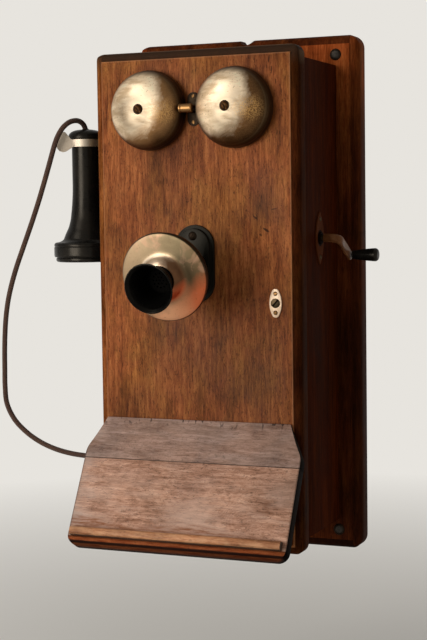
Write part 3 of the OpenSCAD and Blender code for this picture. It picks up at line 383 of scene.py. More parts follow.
# touch changes the colour of one board and says where its gloss is dull
def wood(name, w, touch=None):
    material, surface, coords = newMaterial(name)

    def along(scale, squeeze, detail, rough, distortion=0.0):
        drawn = min(1.0, squeeze * w["short"])
        stretch = (1, 1, drawn) if w["along"] == "Z" else (drawn, 1, 1)
        return noise(stretched(coords, stretch, w["shift"]), scale, detail, rough, distortion)

    bands, streaks, fibres = along(85, 0.10, 4, 0.6, 0.7), along(330, 0.035, 3, 0.6, 0.2), along(900, 0.06, 3, 0.7)
    pore = spread(weighted((along(1500, 0.16, 2, 0.5), 0.6), (along(620, 0.10, 2, 0.6), 0.4)), 0.54, 0.64)
    clouds, smudges, drift = along(15, 0.45, 5, 0.6, 0.5), along(42, 0.7, 4, 0.6, 1.2), along(24, 0.25, 4, 0.6, 0.8)
    rings = calc("SINE", mul(along(17, 0.22, 2, 0.45, 0.5), 150.0))
    grain = add(weighted((bands, 0.34), (streaks, 0.30), (fibres, 0.36)), mul(rings, w["figure"]))
    colour = ramp(grain, (0.5 - w["width"], w["dark"]), (0.50, w["mid"]), (0.5 + w["width"], w["light"]))
    colour = blend(spread(drift, 0.44, 0.60), colour, tinted(colour, w["tint"]))
    colour = tinted(colour, ramp(clouds, (0.32, grey(1 - w["blotch"] * 0.8)), (0.5, grey(1.0)),
                                 (0.7, grey(1 + w["blotch"] * 0.4))))
    colour = dim(mul(spread(smudges, 0.58, 0.74), w["blotch"]), colour, 0.45)
    colour = dim(mul(pore, w["pores"]), colour, 0.42)
    marks = spread(along(190, 0.4, 1, 0.4), 0.74, 0.77)
    colour = dim(mul(marks, w["marks"]), colour, 0.2)
    gloss = w["gloss"]
    if touch:
        colour, dull = touch(coords, colour)
        if dull is not None:
            gloss = mul(sub(1.0, dull), gloss)
    rough = spread(weighted((clouds, 0.6), (fibres, 0.4)), 0.35, 0.65, w["rough"] - 0.07, w["rough"] + 0.1)
    hollow = add(pore, mul(marks, w["marks"] * 2))
    paint(surface, colour, rough, (sub(mul(fibres, 0.5), hollow), 0.45, 0.0002), {"Specular IOR Level": gloss})
    return material


woodSet = {"along": "Z", "short": 1.0, "width": 0.12, "figure": 0.006, "rough": 0.6, "blotch": 0.35, "pores": 0.5,
           "marks": 0.2}
doorSet = {**woodSet, "dark": (0.108, 0.026, 0.0068), "mid": (0.232, 0.066, 0.0185), "light": (0.385, 0.132, 0.040),
           "tint": (0.86, 0.97, 0.80), "short": 2.0, "rough": 0.50, "gloss": 0.08, "blotch": 0.45, "pores": 0.95,
           "marks": 0.15, "shift": (0, 0, 0)}
caseSet = {**woodSet, "dark": (0.019, 0.0028, 0.0004), "mid": (0.044, 0.0070, 0.0009), "light": (0.082, 0.0150, 0.0022),
           "tint": (0.8, 0.9, 0.9), "gloss": 0.015, "blotch": 0.5, "pores": 0.4, "shift": (0, 0, 3.1)}
backSet = {**woodSet, "dark": (0.165, 0.0300, 0.0062), "mid": (0.363, 0.0730, 0.0155), "light": (0.616, 0.154, 0.0380),
           "tint": (0.8, 0.92, 0.85), "short": 1.2, "figure": 0.008, "rough": 0.55, "gloss": 0.02, "blotch": 0.6,
           "shift": (0, 0, 7.7)}
upperSet = {**woodSet, "dark": (0.150, 0.078, 0.052), "mid": (0.262, 0.156, 0.116), "light": (0.380, 0.245, 0.195),
            "tint": (0.86, 0.92, 0.98), "along": "X", "short": 2.4, "rough": 0.62, "gloss": 0.14, "blotch": 0.4,
            "pores": 0.75, "marks": 0.4, "shift": (0.4, 0, 0)}
lowerSet = {**woodSet, "dark": (0.215, 0.100, 0.058), "mid": (0.400, 0.215, 0.142), "light": (0.590, 0.355, 0.250),
            "tint": (0.90, 0.90, 0.92), "along": "X", "short": 2.4, "width": 0.11, "figure": 0.016, "gloss": 0.14,
            "pores": 0.95, "marks": 0.4, "shift": (2.3, 0, 0)}
ledgeSet = {**woodSet, "dark": (0.150, 0.050, 0.018), "mid": (0.360, 0.150, 0.064), "light": (0.560, 0.275, 0.140),
            "tint": (0.9, 0.85, 0.8), "along": "X", "short": 1.6, "width": 0.11, "rough": 0.45, "gloss": 0.25,
            "blotch": 0.6, "marks": 0.5, "shift": (5.0, 0, 0)}
insideSet = {**woodSet, "dark": (0.190, 0.090, 0.036), "mid": (0.320, 0.175, 0.080), "light": (0.430, 0.260, 0.135),
             "tint": (0.95, 0.95, 0.9), "width": 0.14, "figure": 0.010, "gloss": 0.2, "pores": 0.4,
             "shift": (0, 0, 11.0)}
# door moulding: left and other are its share of tone on the lit left and elsewhere, as painted light and shade; worn is
# the strength of its painted highlight line inside the flat's edge
mouldSet = {"doorHalf": (97.3, 231.6), "backHalf": (111.9, 251.4), "left": 0.85, "other": 0.19, "worn": 0.35,
            "backTop": 0.26, "backSide": 0.62}
slopeSet = {"top": (-159.5, -114.1), "angle": 29.1, "joint": 43.0, "stain": 106.0, "toe": 122.8}
# smudges: the large oval at (48, -75) is painted shade towards the lower right, and the ovals at (68, 38) and (55, 75),
# right of the transmitter, paint its shadow together with smudges; the others are smudges. knocks: old knocks
doorMarksAndShade = {
    "smudges": [
        (48, -75, 75, 95, 0, 0.46), (-60, -108, 48, 26, -8, 0.42), (2, -77, 9, 12, 0, 0.42), (-26, -82, 7, 26, 3, 0.25),
        (9, -46, 7, 16, 0, 0.25), (-37, 143, 11, 24, 0, 0.38), (-48, 116, 8, 9, 20, 0.30), (-22, 120, 7, 44, 0, 0.20),
        (68, 38, 14, 17, 20, 0.30), (55, 75, 26, 12, -35, 0.18), (30, -88, 16, 22, 0, 0.2), (70, -62, 9, 34, 0, 0.25),
        (-85, 200, 10, 22, 0, 0.2), (12, 196, 6, 14, 0, 0.3)],
    "knocks": [
        (61.5, 79.0, 2.6, 0.9, 38, 0.8), (72.0, 67.5, 3.6, 1.1, 32, 0.9), (66.5, 63.0, 1.6, 1.0, 50, 0.8),
        (80.0, 87.0, 3.0, 0.7, -12, 0.6), (1.0, 116.0, 2.6, 0.5, 42, 0.6), (-8.0, 95.0, 2.0, 0.5, 0, 0.5),
        (76.5, 226.0, 0.8, 3.2, 8, 0.8), (79.0, 216.0, 0.7, 3.6, 6, 0.8), (83.0, 205.0, 0.7, 2.6, -4, 0.7),
        (74.0, 219.0, 0.6, 2.0, 0, 0.6), (88.5, 196.0, 0.7, 2.2, 0, 0.6), (84.0, 158.0, 0.7, 2.2, 12, 0.6),
        (78.0, 171.0, 0.7, 1.6, 0, 0.5), (-70.0, 29.0, 0.5, 4.0, 4, 0.5), (40.0, -100.0, 3.0, 0.5, 30, 0.4),
        (62.0, 142.0, 0.6, 2.4, -5, 0.4)]}


# door: its moulding darker than the flat as painted shade, lighter on the left where the lamp falls on it, darkest
# along the top with a painted highlight line on its upper edge; smudges, some of them painted shade, and old knocks
def doorTouch(coords, colour):
    halfX, halfZ = scaled(mouldSet["doorHalf"], mm)
    out, xyz = borderMask(coords, halfX, halfZ)
    wander = vector(mulAdd(noise(coords, 90, 4, 0.65, 0.4), 0.020, -0.010), 0.0,
                    mulAdd(noise(coords, 60, 3, 0.6), 0.030, -0.015))
    colour = dim(ovals(vectorMath("ADD", coords, wander), doorMarksAndShade["smudges"], 1.1), colour, 0.30)
    colour = dim(ovals(coords, doorMarksAndShade["knocks"], 0.5), colour, 0.12)
    # painted light and shade: the moulding keeps more of its tone on the left, where the lamp falls, than on the top
    # and the right
    share = mulAdd(calc("LESS_THAN", xyz[0], -halfX), mouldSet["left"] - mouldSet["other"], mouldSet["other"])
    shaded = tinted(colour, vector(share, power(share, 1.12), power(share, 1.2)))
    # a lighter line just inside the flat's edge: painted highlight
    worn = spread(absolute(add(out, 0.0006)), 0.0009, 0.0004, 0.0, mouldSet["worn"])
    colour = blend(worn, colour, (0.36, 0.165, 0.078))
    # painted shade along the top moulding, then a painted highlight line along its upper edge
    upper = spread(xyz[2], halfZ - 0.012, halfZ + 0.004, 0.0, 0.8)
    shaded = blend(upper, shaded, (0.037, 0.022, 0.014))
    shaded = blend(mul(upper, spread(out, 0.0066, 0.0076)), shaded, (0.17, 0.098, 0.055))
    outside = spread(out, -0.0002, 0.0002)
    return blend(outside, colour, shaded), mul(outside, 0.9)


# backboard: painted shade from the cabinet's top downwards, where the cabinet shades it, growing darker towards the
# bottom, with its moulding darker at the top than at the sides
def backTouch(coords, colour):
    halfX, halfZ = scaled(mouldSet["backHalf"], mm)
    out, xyz = borderMask(coords, halfX, halfZ)
    # painted shade below the cabinet's top, and darker towards the bottom
    colour = dim(spread(xyz[2], 0.235, 0.175), colour, 0.45)
    colour = dim(spread(xyz[2], 0.22, -0.02), colour, 0.36)
    outside = spread(out, -0.0003, 0.0003)
    side = calc("GREATER_THAN", absolute(xyz[0]), halfX)
    colour = dim(mul(outside, side), colour, mouldSet["backSide"])
    return dim(mul(outside, sub(1.0, side)), colour, mouldSet["backTop"]), None


# writing shelf: down is the distance down its slope, deep the depth into its boards
def shelfTouch(coords, colour):
    sine, cosine = math.sin(math.radians(slopeSet["angle"])), math.cos(math.radians(slopeSet["angle"]))
    y0, z0 = scaled(slopeSet["top"], mm)
    jointAt, stainAt, toeAt = (slopeSet[k] * mm for k in ("joint", "stain", "toe"))
    down = sub(y0 * sine + z0 * cosine, measure("DOT_PRODUCT", coords, (0, sine, cosine)))
    deep = sub(measure("DOT_PRODUCT", coords, (0, cosine, -sine)), y0 * cosine - z0 * sine)
    across = splitVector(coords)[0]
    fromMiddle = absolute(across)
    ragged = noise(stretched(coords, (0.3, 1, 1), (0, 2, 0)), 60, 4, 0.6)
    # paler, greyer patches, stronger towards the ledge
    paleTowardsLedge = mul(spread(ragged, 0.42, 0.62), spread(down, 0.055, 0.100, 0.15, 0.55))
    colour = blend(paleTowardsLedge, colour, (0.56, 0.39, 0.31))
    dusty = mul(spread(across, -0.088, -0.109, 0.0, 0.5), spread(ragged, 0.35, 0.60))
    colour = blend(dusty, colour, (0.52, 0.41, 0.36))
    uneven = add(mulAdd(ragged, 0.026, -0.013), mul(across, -0.035))
    stain = spread(add(down, uneven), stainAt, stainAt + 0.006)
    flecks = noise(stretched(coords, (0.12, 1, 1), (0, 5, 0)), 520, 3, 0.65)
    colour = blend(mul(stain, spread(flecks, 0.36, 0.58, 0.9, 0.25)), colour, (0.20, 0.066, 0.024))
    grimy = mul(spread(fromMiddle, 0.098, 0.111, 0.0, 0.5), spread(ragged, 0.4, 0.6))
    colour = dim(grimy, dim(spread(fromMiddle, 0.1093, 0.1106, 0.0, 0.8), colour, 0.3), 0.5)
    toe = spread(down, toeAt - 0.0004, toeAt)
    colour = blend(toe, colour, tinted(colour, (0.66, 0.32, 0.140)))
    quirk = mul(spread(deep, 0.0004, 0.0008), spread(deep, 0.0023, 0.0018))
    seam = spread(absolute(sub(down, jointAt)), 0.0007, 0.0002)
    chips = spread(noise(stretched(coords, (1, 0.5, 0.5), (0, 0, 4)), 260, 1, 0.4), 0.60, 0.66)
    # the strip just below the ledge is painted shade under it, and the quirk a thin line of painted shade for a groove;
    # the other masks darken the nose's face and lower band, and the joint between the boards, with chips near the top
    for mask, share in (
            (mul(toe, spread(down, toeAt + 0.0016, toeAt)), 0.35), (mul(toe, spread(deep, 0.0003, 0.0006)), 0.40),
            (quirk, 0.15), (mul(toe, spread(deep, 0.0048, 0.0080)), 0.20),
            (larger(seam, mul(spread(down, 0.010, 0.002), chips)), 0.25)):
        colour = dim(mask, colour, share)
    side = absolute(splitVector(addNode("ShaderNodeTexCoord").outputs["Normal"])[0])
    dark = larger(spread(side, 0.35, 0.7), spread(deep, 0.0100, 0.0115))
    return dim(dark, colour, 0.05), larger(mul(dark, 0.9), mul(toe, 0.6))


# pencil ledge: worn tan top, painted shade on its faces turned down, and darker end grain
def ledgeTouch(coords, colour):
    faces = splitVector(addNode("ShaderNodeTexCoord").outputs["Normal"])
    worn = spread(noise(stretched(coords, (0.4, 1, 1)), 130, 4, 0.6), 0.46, 0.62, 0.0, 0.55)
    # painted shade on faces turned down; the end grain darker too
    dark = larger(spread(faces[2], -0.2, -0.6), spread(absolute(faces[0]), 0.4, 0.75))
    return dim(dark, blend(worn, colour, (0.56, 0.30, 0.155)), 0.13), None


doorWood = wood("doorWood", doorSet, doorTouch)
caseWood = wood("caseWood", caseSet)
backWood = wood("backWood", backSet, backTouch)
upperWood = wood("upperShelfWood", upperSet, shelfTouch)
lowerWood = wood("lowerShelfWood", lowerSet, shelfTouch)
ledgeWood = wood("ledgeWood", ledgeSet, ledgeTouch)
insideWood = wood("insideWood", insideSet)
print("woods made")


# ---- metals and other finishes ----

def metal(name, base, worn, rough, wear=0.35, scratch=0.3, dirtiness=0.35):
    material, surface, coords = newMaterial(name)
    patches = noise(coords, 42, 5, 0.62, 0.6)
    specks = noise(stretched(coords, shift=(3, 1, 2)), 420, 3, 0.6)
    fine = noise(stretched(coords, shift=(1, 5, 2)), 1500, 2, 0.5)
    bare = spread(weighted((patches, 0.8), (specks, 0.2)), 0.64 - wear * 0.3, 0.74 - wear * 0.1)
    colour = blend(mul(spread(specks, 0.62, 0.76), dirtiness), blend(bare, base, worn), (0.06, 0.04, 0.025))
    uneven = spread(weighted((patches, 0.7), (fine, 0.3)), 0.3, 0.7, rough - 0.07, rough + 0.13)
    paint(surface, colour, uneven, (weighted((specks, -0.5), (fine, 0.3)), scratch * 0.4, 0.00008), {"Metallic": 1.0})
    return material


# hub: (x, y, z, radius) in mm of a black disc round the crank's shaft, painted shade of a recess there
def lacquer(name, base, rough, gloss=0.3, bump=0.2, worn=None, hub=None):
    material, surface, coords = newMaterial(name)
    dust = noise(coords, 60, 5, 0.6, 0.3)
    fine = noise(coords, 900, 3, 0.55)
    colour = blend(spread(dust, 0.45, 0.78, 0, 0.6), base, worn or scaled(base, 2.2))
    if hub:
        *middle, radius = scaled(hub, mm)
        reach = measure("DISTANCE", vectorMath("MULTIPLY", coords, (0, 1, 1)), middle)
        # painted shade of the recess round the shaft
        colour = dim(spread(reach, radius + 0.0004, radius - 0.0004), colour, 0.06)
    uneven = spread(weighted((dust, 0.7), (fine, 0.3)), 0.35, 0.65, rough - 0.05, rough + 0.1)
    paint(surface, colour, uneven, (fine, bump, 0.00005), {
        "Specular IOR Level": gloss, "Specular Tint": (1.0, 0.88, 0.72)})
    return material


# wound wire: fine ridges along one axis, with painted shade between the turns and a painted highlight on their crowns,
# darker outside the winding's radius where the bobbin's cheeks are
def wound(name, base, axis, centre, radius, pitch=0.9):
    material, surface, coords = newMaterial(name)
    xyz = splitVector(stretched(coords, shift=scaled(centre, -mm)))
    ridge = calc("SINE", mul(xyz[axis], 2 * math.pi / (pitch * mm)))
    colour = ramp(mulAdd(ridge, 0.5, 0.5), (0.0, scaled(base, 0.35)), (0.6, base), (1.0, scaled(base, 1.5)))
    colour = dim(spread(noise(coords, 240, 3, 0.6), 0.45, 0.7), colour, 0.7)
    cheek = calc("GREATER_THAN", hypotenuse(*(xyz[k] for k in range(3) if k != axis)), (radius + 0.25) * mm)
    colour = blend(cheek, colour, (0.05, 0.018, 0.01))
    paint(surface, colour, 0.5, (mul(ridge, sub(1.0, cheek)), 0.6, 0.0002))
    return material


# lock barrel: a black slot at 45 degrees, painted shade in the slot, and browner above it
def barrelToneAndSlotShade():
    material, surface, coords = newMaterial("barrelToneAndSlotShade")
    xyz = splitVector(coords)
    across = mul(sub(sub(xyz[2], xyz[0]), (at["lockZ"] - at["lockX"]) * mm), math.sqrt(0.5))
    colour = blend(spread(across, -0.0008, 0.0022), (0.026, 0.018, 0.010), (0.085, 0.057, 0.031))
    # painted shade in the slot
    colour = dim(spread(absolute(across), 0.00078, 0.00058), colour, 0.03)
    paint(surface, colour, 0.45, (noise(coords, 1500, 2, 0.5), 0.1, 0.00005), {"Metallic": 1.0})
    return material


paleNickel = metal("paleNickel", (0.43, 0.36, 0.28), (0.33, 0.250, 0.175), 0.46, wear=0.4, dirtiness=0.3)
brass = metal("oldBrass", (0.42, 0.29, 0.12), (0.24, 0.15, 0.06), 0.34, wear=0.6)
darkBrass = metal("darkBrass", (0.070, 0.044, 0.022), (0.15, 0.10, 0.05), 0.45, wear=0.3)
blackBrass = metal("blackBrass", (0.022, 0.014, 0.009), (0.055, 0.036, 0.020), 0.5, wear=0.3)
rubbedBrass = metal("rubbedBrass", (0.25, 0.130, 0.048), (0.14, 0.070, 0.026), 0.36, wear=0.45)
lockMetal = metal("lockPlateNickel", (0.56, 0.42, 0.30), (0.44, 0.31, 0.20), 0.50, wear=0.2, dirtiness=0.25)
shaftOlive = metal("shaftOlive", (0.021, 0.015, 0.008), (0.050, 0.033, 0.015), 0.42, wear=0.3)
bellScrew = metal("bellScrew", (0.050, 0.022, 0.008), (0.15, 0.075, 0.028), 0.38, wear=0.3)
steel = metal("oiledSteel", (0.38, 0.36, 0.33), (0.24, 0.21, 0.17), 0.32)
softIron = metal("softIron", (0.16, 0.155, 0.15), (0.10, 0.085, 0.07), 0.48, scratch=0.8)
blackIron = metal("blackIron", (0.030, 0.026, 0.022), (0.07, 0.058, 0.045), 0.45, scratch=0.6)
japan = lacquer("blackJapan", (0.0050, 0.0047, 0.0035), 0.29, 0.13)
rubber = lacquer("hardRubber", (0.0050, 0.0045, 0.0040), 0.25, 0.17, 0.12, worn=(0.011, 0.0085, 0.0060))
hornRubber = lacquer("hornRubber", (0.0012, 0.0011, 0.0010), 0.28, 0.09, 0.12)
discRubber = lacquer("discRubber", (0.0007, 0.0006, 0.0006), 0.55, 0.03, 0.12)
redEnamel = lacquer("redEnamel", (0.22, 0.020, 0.013), 0.35)
armBronze = lacquer("armBronze", (0.125, 0.044, 0.014), 0.30, 0.12, worn=(0.34, 0.150, 0.060))
plateBrown = lacquer("plateBrown", (0.085, 0.022, 0.0065), 0.5, 0.02, worn=(0.130, 0.040, 0.012),
                     hub=(0, at["crankY"], at["crankZ"], 8.0))
card = lacquer("buffCard", (0.45, 0.36, 0.22), 0.75, 0.2, 0.5, worn=(0.33, 0.25, 0.15))
copper = (0.20, 0.065, 0.025)
green = (0.022, 0.085, 0.036)
print("finishes made")


# ---- CAD nodes that keep their shape, eased and finished ----

cabinetWalls = ("cabinet_side_left", "cabinet_side_right", "cabinet_top", "cabinet_bottom")
plain = [  # body, slot, finish, and each node with its edge rounding in mm
    ("cabinet", "dark_wood", backWood, {"backboard": 0.8}),
    ("cabinet", "dark_wood", caseWood, dict.fromkeys(cabinetWalls, 0.5)),
    ("cabinet", "inner_wood", insideWood, {"magneto_shelf": 0.6}),
    ("cabinet", "brass", brass, {"cabinet_hinge_leaves": 0.15}),
    ("cabinet", "steel", steel, {"hinge_pins": 0.2}),
    ("cabinet", "brass", brass, {"strike_plate": 0.15}),
    ("cabinet", "nickel", plateBrown, {"crank_escutcheon": 0.3}),
    ("cabinet", "brass", brass, {"magneto_frame": 0.4}),
    ("cabinet", "magnet_red", redEnamel, {"magneto_magnets": 0.8}),
    ("cabinet", "iron", softIron, {"magneto_pole_shoes": 0.4}),
    ("cabinet", "brass", brass, {"hook_bracket": 0.25, "hook_contact_springs": 0.1}),
    ("cabinet", "inner_wood", insideWood, {"terminal_strip": 0.8}),
    ("cabinet", "brass", brass, {"binding_posts": 0.3}),
    ("cabinet", "cell_paper", card, {"dry_cells": 0.5}),
    ("cabinet", "brass", brass, {"cell_terminals": 0.3}),
    ("cabinet", "hard_rubber", rubber, {"cord_bushing": 0.5}),
    ("door", "door_wood", doorWood, {"door_panel": 0.7}),
    ("door", "brass", brass, {"door_hinge_leaves": 0.15}),
    ("door", "black_iron", blackBrass, {"clapper_plate": 0.3}),
    ("door", "iron", softIron, {"ringer_frame": 0.3}),
    ("door", "magnet_red", redEnamel, {"ringer_magnet": 0.5}),
    ("door", "black_iron", japan, {"transmitter_base": 0.6}),
    ("door", "shelf_wood", lowerWood, {"shelf_lower_plank": 0.5}),
    ("door", "shelf_wood", ledgeWood, {"pencil_ledge": 0.7}),
    ("door", "dark_wood", caseWood, {"shelf_brackets": 0.6}),
    ("lock", "nickel", barrelToneAndSlotShade(), {"lock_spindle": 0.2}),
    ("lock", "brass", brass, {"lock_cam": 0.25}),
    ("clapper", "iron", softIron, {"clapper_armature": 0.3}),
    ("transmitter", "black_iron", japan, {"transmitter_arm": 0.6}),
    ("crank", "steel", shaftOlive, {"crank_shaft": 0.3}),
    ("crank", "brass", brass, {"drive_gear": 0.12}),
    ("armature", "iron", softIron, {"armature_core": 0.3}),
    ("armature", "brass", brass, {"armature_pinion": 0.12}),
    ("hook", "nickel", paleNickel, {"hook_fork": 0}),
    ("transmitter", "brass", brass, {"transmitter_button": 0.3}),
    ("receiver", "iron", softIron, {"receiver_diaphragm": 0.1, "receiver_magnet": 0.2}),
    ("door", "green_silk", wound("ringerWire", green, 1, (0, 0, at["bellZ"]), 32.5), {"ringer_coils": 0.2}),
    ("cabinet", "green_silk", wound("coilWire", green, 0, (0, -37, 188), 12), {"induction_coil": 0.3}),
    ("armature", "green_silk", wound("armatureWire", copper, 1, (0, -80, 22.3), 40, 0.8), {"armature_winding": 0.3}),
]
for body, slotName, finish, widths in plain:
    for node, width in widths.items():
        settle(eased(node, width), body, slotName, finish, node)
print("CAD pieces dressed:", sum(len(row[3]) for row in plain))

# the photograph shows the transmitter's base ending higher at its foot, so what lies below "foot" is raised
baseSet = {"foot": 20.0, "raise": 13.5}
for vertex in bpy.data.objects["transmitter_base_dressed"].data.vertices:
    if vertex.co.z < baseSet["foot"] * mm:
        vertex.co.z += baseSet["raise"] * mm


# upper shelf board, with shoulders that slope almost straight to a rounded corner
plankSet = {"top": 95.4, "wide": 111.0, "shoulder": 33.0, "hollow": 0.75, "corner": 5.0, "length": 43.0, "thick": 12.5,
            "ease": 0.5}


def upperPlank():
    ps = plankSet
    edge = []
    for k in range(11):
        share = k / 10 * (1 - ps["corner"] / ps["shoulder"])
        x = ps["top"] + (ps["wide"] - ps["top"]) * share - ps["hollow"] * math.sin(math.pi * share)
        edge.append((x, -ps["shoulder"] * share))
    start, corner, end = edge[-1], (ps["wide"], -ps["shoulder"]), (ps["wide"], -ps["shoulder"] - ps["corner"])
    edge += [curvePoint(start, corner, end, k / 8) for k in range(1, 9)]
    edge.append((ps["wide"], -ps["length"]))
    outline = edge + [(-x, z) for x, z in reversed(edge)]
    count = len(outline)
    verts = [(x * mm, depth * mm, z * mm) for depth in (0, ps["thick"]) for x, z in outline]
    faces = [tuple(range(count)), tuple(range(2 * count - 1, count - 1, -1))]
    faces += [(k, count + k, count + (k + 1) % count, (k + 1) % count) for k in range(count)]
    board = newObject("shelf_upper_board", verts, faces)
    board.data.transform(placed(0, *slopeSet["top"], -slopeSet["angle"]))
    with editing(board) as bm:
        parts = bm.verts[:] + bm.edges[:] + bm.faces[:]
        doorPoint = (0, at["doorFace"] * mm, 0)
        bmesh.ops.bisect_plane(bm, geom=parts, plane_co=doorPoint, plane_no=(0, 1, 0), clear_outer=True)
        bmesh.ops.holes_fill(bm, edges=bm.edges)
    cleanNormals(board)
    roundEdges(board, ps["ease"], "MITER_SHARP")
    shade(board, 40)
    return board


settle(upperPlank(), "door", "shelf_wood", upperWood, "shelf_upper_plank")


# ---- bells: a dome made by rule in Geometry Nodes ----

gongSet = {"radius": 38.1, "height": 27.0, "wall": 1.6, "bead": 0.35, "rimY": -161.1}
# painted reflection of each bell: dull is where its plate is dimmed under the lamp's highlight, middle and round its
# tone there and towards the edge, brown the dark reflected colour
gongReflectionLook = {"left": {"dull": (-5, -4), "middle": 0.53, "round": 1.50, "brown": (0.27, 0.140, 0.058)},
            "right": {"dull": (3, -6), "middle": 0.50, "round": 1.50, "brown": (0.13, 0.062, 0.025)}}


def gongTree():
    given = newTree("gongRule", {"Radius": 0.0381, "Height": 0.027, "Wall": 0.0016, "Bead": 0.0004})
    grid = addNode("GeometryNodeMeshGrid", {"Size X": 1.0, "Size Y": 1.0, "Vertices X": 97, "Vertices Y": 129})
    xyz = splitVector(addNode("GeometryNodeInputPosition"))
    along = mul(xyz[0], 2.0)  # -1 at the outer crown, 0 at the rim, 1 at the inner crown
    inner = calc("GREATER_THAN", along, 0.005)
    angle = mul(absolute(along), math.pi / 2)
    radius, height = (sub(given[name], mul(inner, given["Wall"])) for name in ("Radius", "Height"))
    r = mul(radius, power(larger(calc("COSINE", angle), 0.0), 0.86))
    h = mul(height, power(calc("SINE", angle), 0.92))
    far = absolute(sub(calc("DIVIDE", h, given["Height"]), 0.17))
    bead = mul(sub(1.0, mul(far, 14.0), clamp=True), given["Bead"])
    r = sub(r, mul(bead, sub(1.0, inner)))
    around = mul(xyz[1], 2 * math.pi)
    place = vector(mul(r, calc("COSINE", around)), mul(h, -1.0), mul(r, calc("SINE", around)))
    bent = addNode("GeometryNodeSetPosition", {"Geometry": grid, "Position": place})
    return closeTree(addNode("GeometryNodeMergeByDistance", {"Geometry": bent, "Distance": 2e-5}), given)


# nickel plate with a painted reflection of the room: bright near the crown and to the upper left, turning dark brown to
# the right and round the rim
def gongPlateWithReflection(name, centreX, look):
    material, surface, coords = newMaterial(name)
    local = stretched(coords, shift=(-centreX * mm, 0, -at["bellZ"] * mm))
    xyz = splitVector(local)
    clouds = noise(local, 40, 6, 0.65, 0.8)
    specks = noise(local, 520, 3, 0.62)
    smear = noise(stretched(local, (1, 1, 3.2)), 46, 4, 0.6, 0.5)

    def distance(x, z):
        return hypotenuse(sub(xyz[0], x), sub(xyz[2], z))

    ragged = mulAdd(clouds, 0.022, -0.011)
    # painted reflection: plated in the bright zone round the upper left, brown beyond it, and darker still further out
    away = add(distance(-0.010, 0.006), ragged)
    plated = blend(spread(smear, 0.42, 0.66), (0.72, 0.580, 0.410), (0.44, 0.325, 0.205))
    # painted reflection: dimmer where the lamp's highlight falls near the crown, brighter towards the edge
    out = add(distance(*scaled(look["dull"], mm)), mul(ragged, 0.25))
    share = spread(out, 0.013, 0.026, look["middle"], look["round"])
    colour = blend(spread(away, 0.026, 0.036), tinted(plated, vector(share, share, share)), look["brown"])
    colour = blend(spread(away, 0.036, 0.048), colour, scaled(look["brown"], 0.4))
    patch = spread(add(distance(0.022, -0.002), mul(ragged, 0.6)), 0.014, 0.006)
    golden = mul(mulAdd(patch, 0.65, 0.08), spread(noise(local, 1100, 2, 0.5), 0.42, 0.60))
    colour = blend(golden, colour, (0.56, 0.32, 0.11))
    colour = blend(mul(spread(specks, 0.64, 0.70), 0.6), colour, (0.10, 0.055, 0.025))
    rimOut = distance(0, 0)
    line = spread(absolute(sub(rimOut, 0.0352)), 0.0007, 0.0003)
    colour = blend(mul(line, 0.18), colour, (0.42, 0.30, 0.16))
    # painted reflection: dark round the rim
    colour = blend(spread(rimOut, 0.0318, 0.0368, 0.0, 0.9), colour, (0.040, 0.022, 0.010))
    rough = spread(add(smear, mul(clouds, 0.4)), 0.5, 0.9, 0.42, 0.56)
    paint(surface, colour, rough, (weighted((smear, 0.7), (specks, -0.3)), 0.12, 0.0002), {"Metallic": 1.0})
    return material


gongRule = gongTree()
for side, s in (("left", -1), ("right", 1)):
    bell = newObject("bell_" + side, [(0, 0, 0)])
    runTree(bell, gongRule, {name: gongSet[name.lower()] * mm for name in ("Radius", "Height", "Wall", "Bead")})
    bell.data.transform(placed(s * at["bellX"], gongSet["rimY"], at["bellZ"]))
    cleanNormals(bell, 1e-5)
    shade(bell, 50)
    bellPlateWithReflection = gongPlateWithReflection("bellPlateWithReflection_" + side, s * at["bellX"], gongReflectionLook[side])
    settle(bell, "door", "gong_nickel", bellPlateWithReflection, "gong_" + side)
postSet = {"radius": 3.6, "foot": 4.8, "rod": 2.0, "top": 29.25, "rodTop": 31.5}
radius, foot, rod, top, rodTop = postSet.values()
for side, s in (("left", -1), ("right", 1)):
    post = lathe("bell_post_" + side, [
        (0, 0), (foot, 0, 0.3), (foot, 1.6, 0.5), (radius, 2.4, 0.6), (radius, top, 0.2), (rod, top), (rod, rodTop),
        (0, rodTop)], placed(s * at["bellX"], at["doorFace"], at["bellZ"], 90), 48)
    settle(post, "door", "brass", blackBrass, *(["gong_posts"] if s > 0 else []))
print("bells made")


# ---- turned pieces ----

hammerSet = {"width": 13.0, "radius": 4.15, "y": -176.1}
w, r = hammerSet["width"], hammerSet["radius"]
hammer = lathe("clapper_hammer_turned", [
    (0, 0), (r - 0.4, 0, 0.4), (r + 0.05, 0.5, 0.3), (r + 0.05, 1.9, 0.2), (r - 0.35, 2.1, 0.2), (r - 0.35, 2.5, 0.2),
    (r, 2.8, 0.2), (r, w - 0.6, 0.4), (r - 0.6, w, 0.3), (0, w)],
    placed(-w / 2, hammerSet["y"], at["bellZ"], 90, "Y"), 64)
settle(hammer, "clapper", "brass", rubbedBrass, "clapper_hammer")

transmitterSet = {
    "pivotY": -193.8, "pivotZ": 35.4, "tilt": 14.2, "faceR": 42.0, "faceOut": 38.0, "collarR": 21.0, "collarOut": 49.0,
    "cupBack": 14.0, "neckR": 13.6, "mouthR": 23.4, "hornEnd": 73.7, "hornWall": 2.0}
(pivotY, pivotZ, tilt, faceR, faceOut, collarR, collarOut, cupBack, neckR, mouthR, hornEnd,
 hornWall) = transmitterSet.values()
onTransmitter = placed(0, pivotY, pivotZ, tilt) @ Matrix.Rotation(math.radians(90), 4, "X")
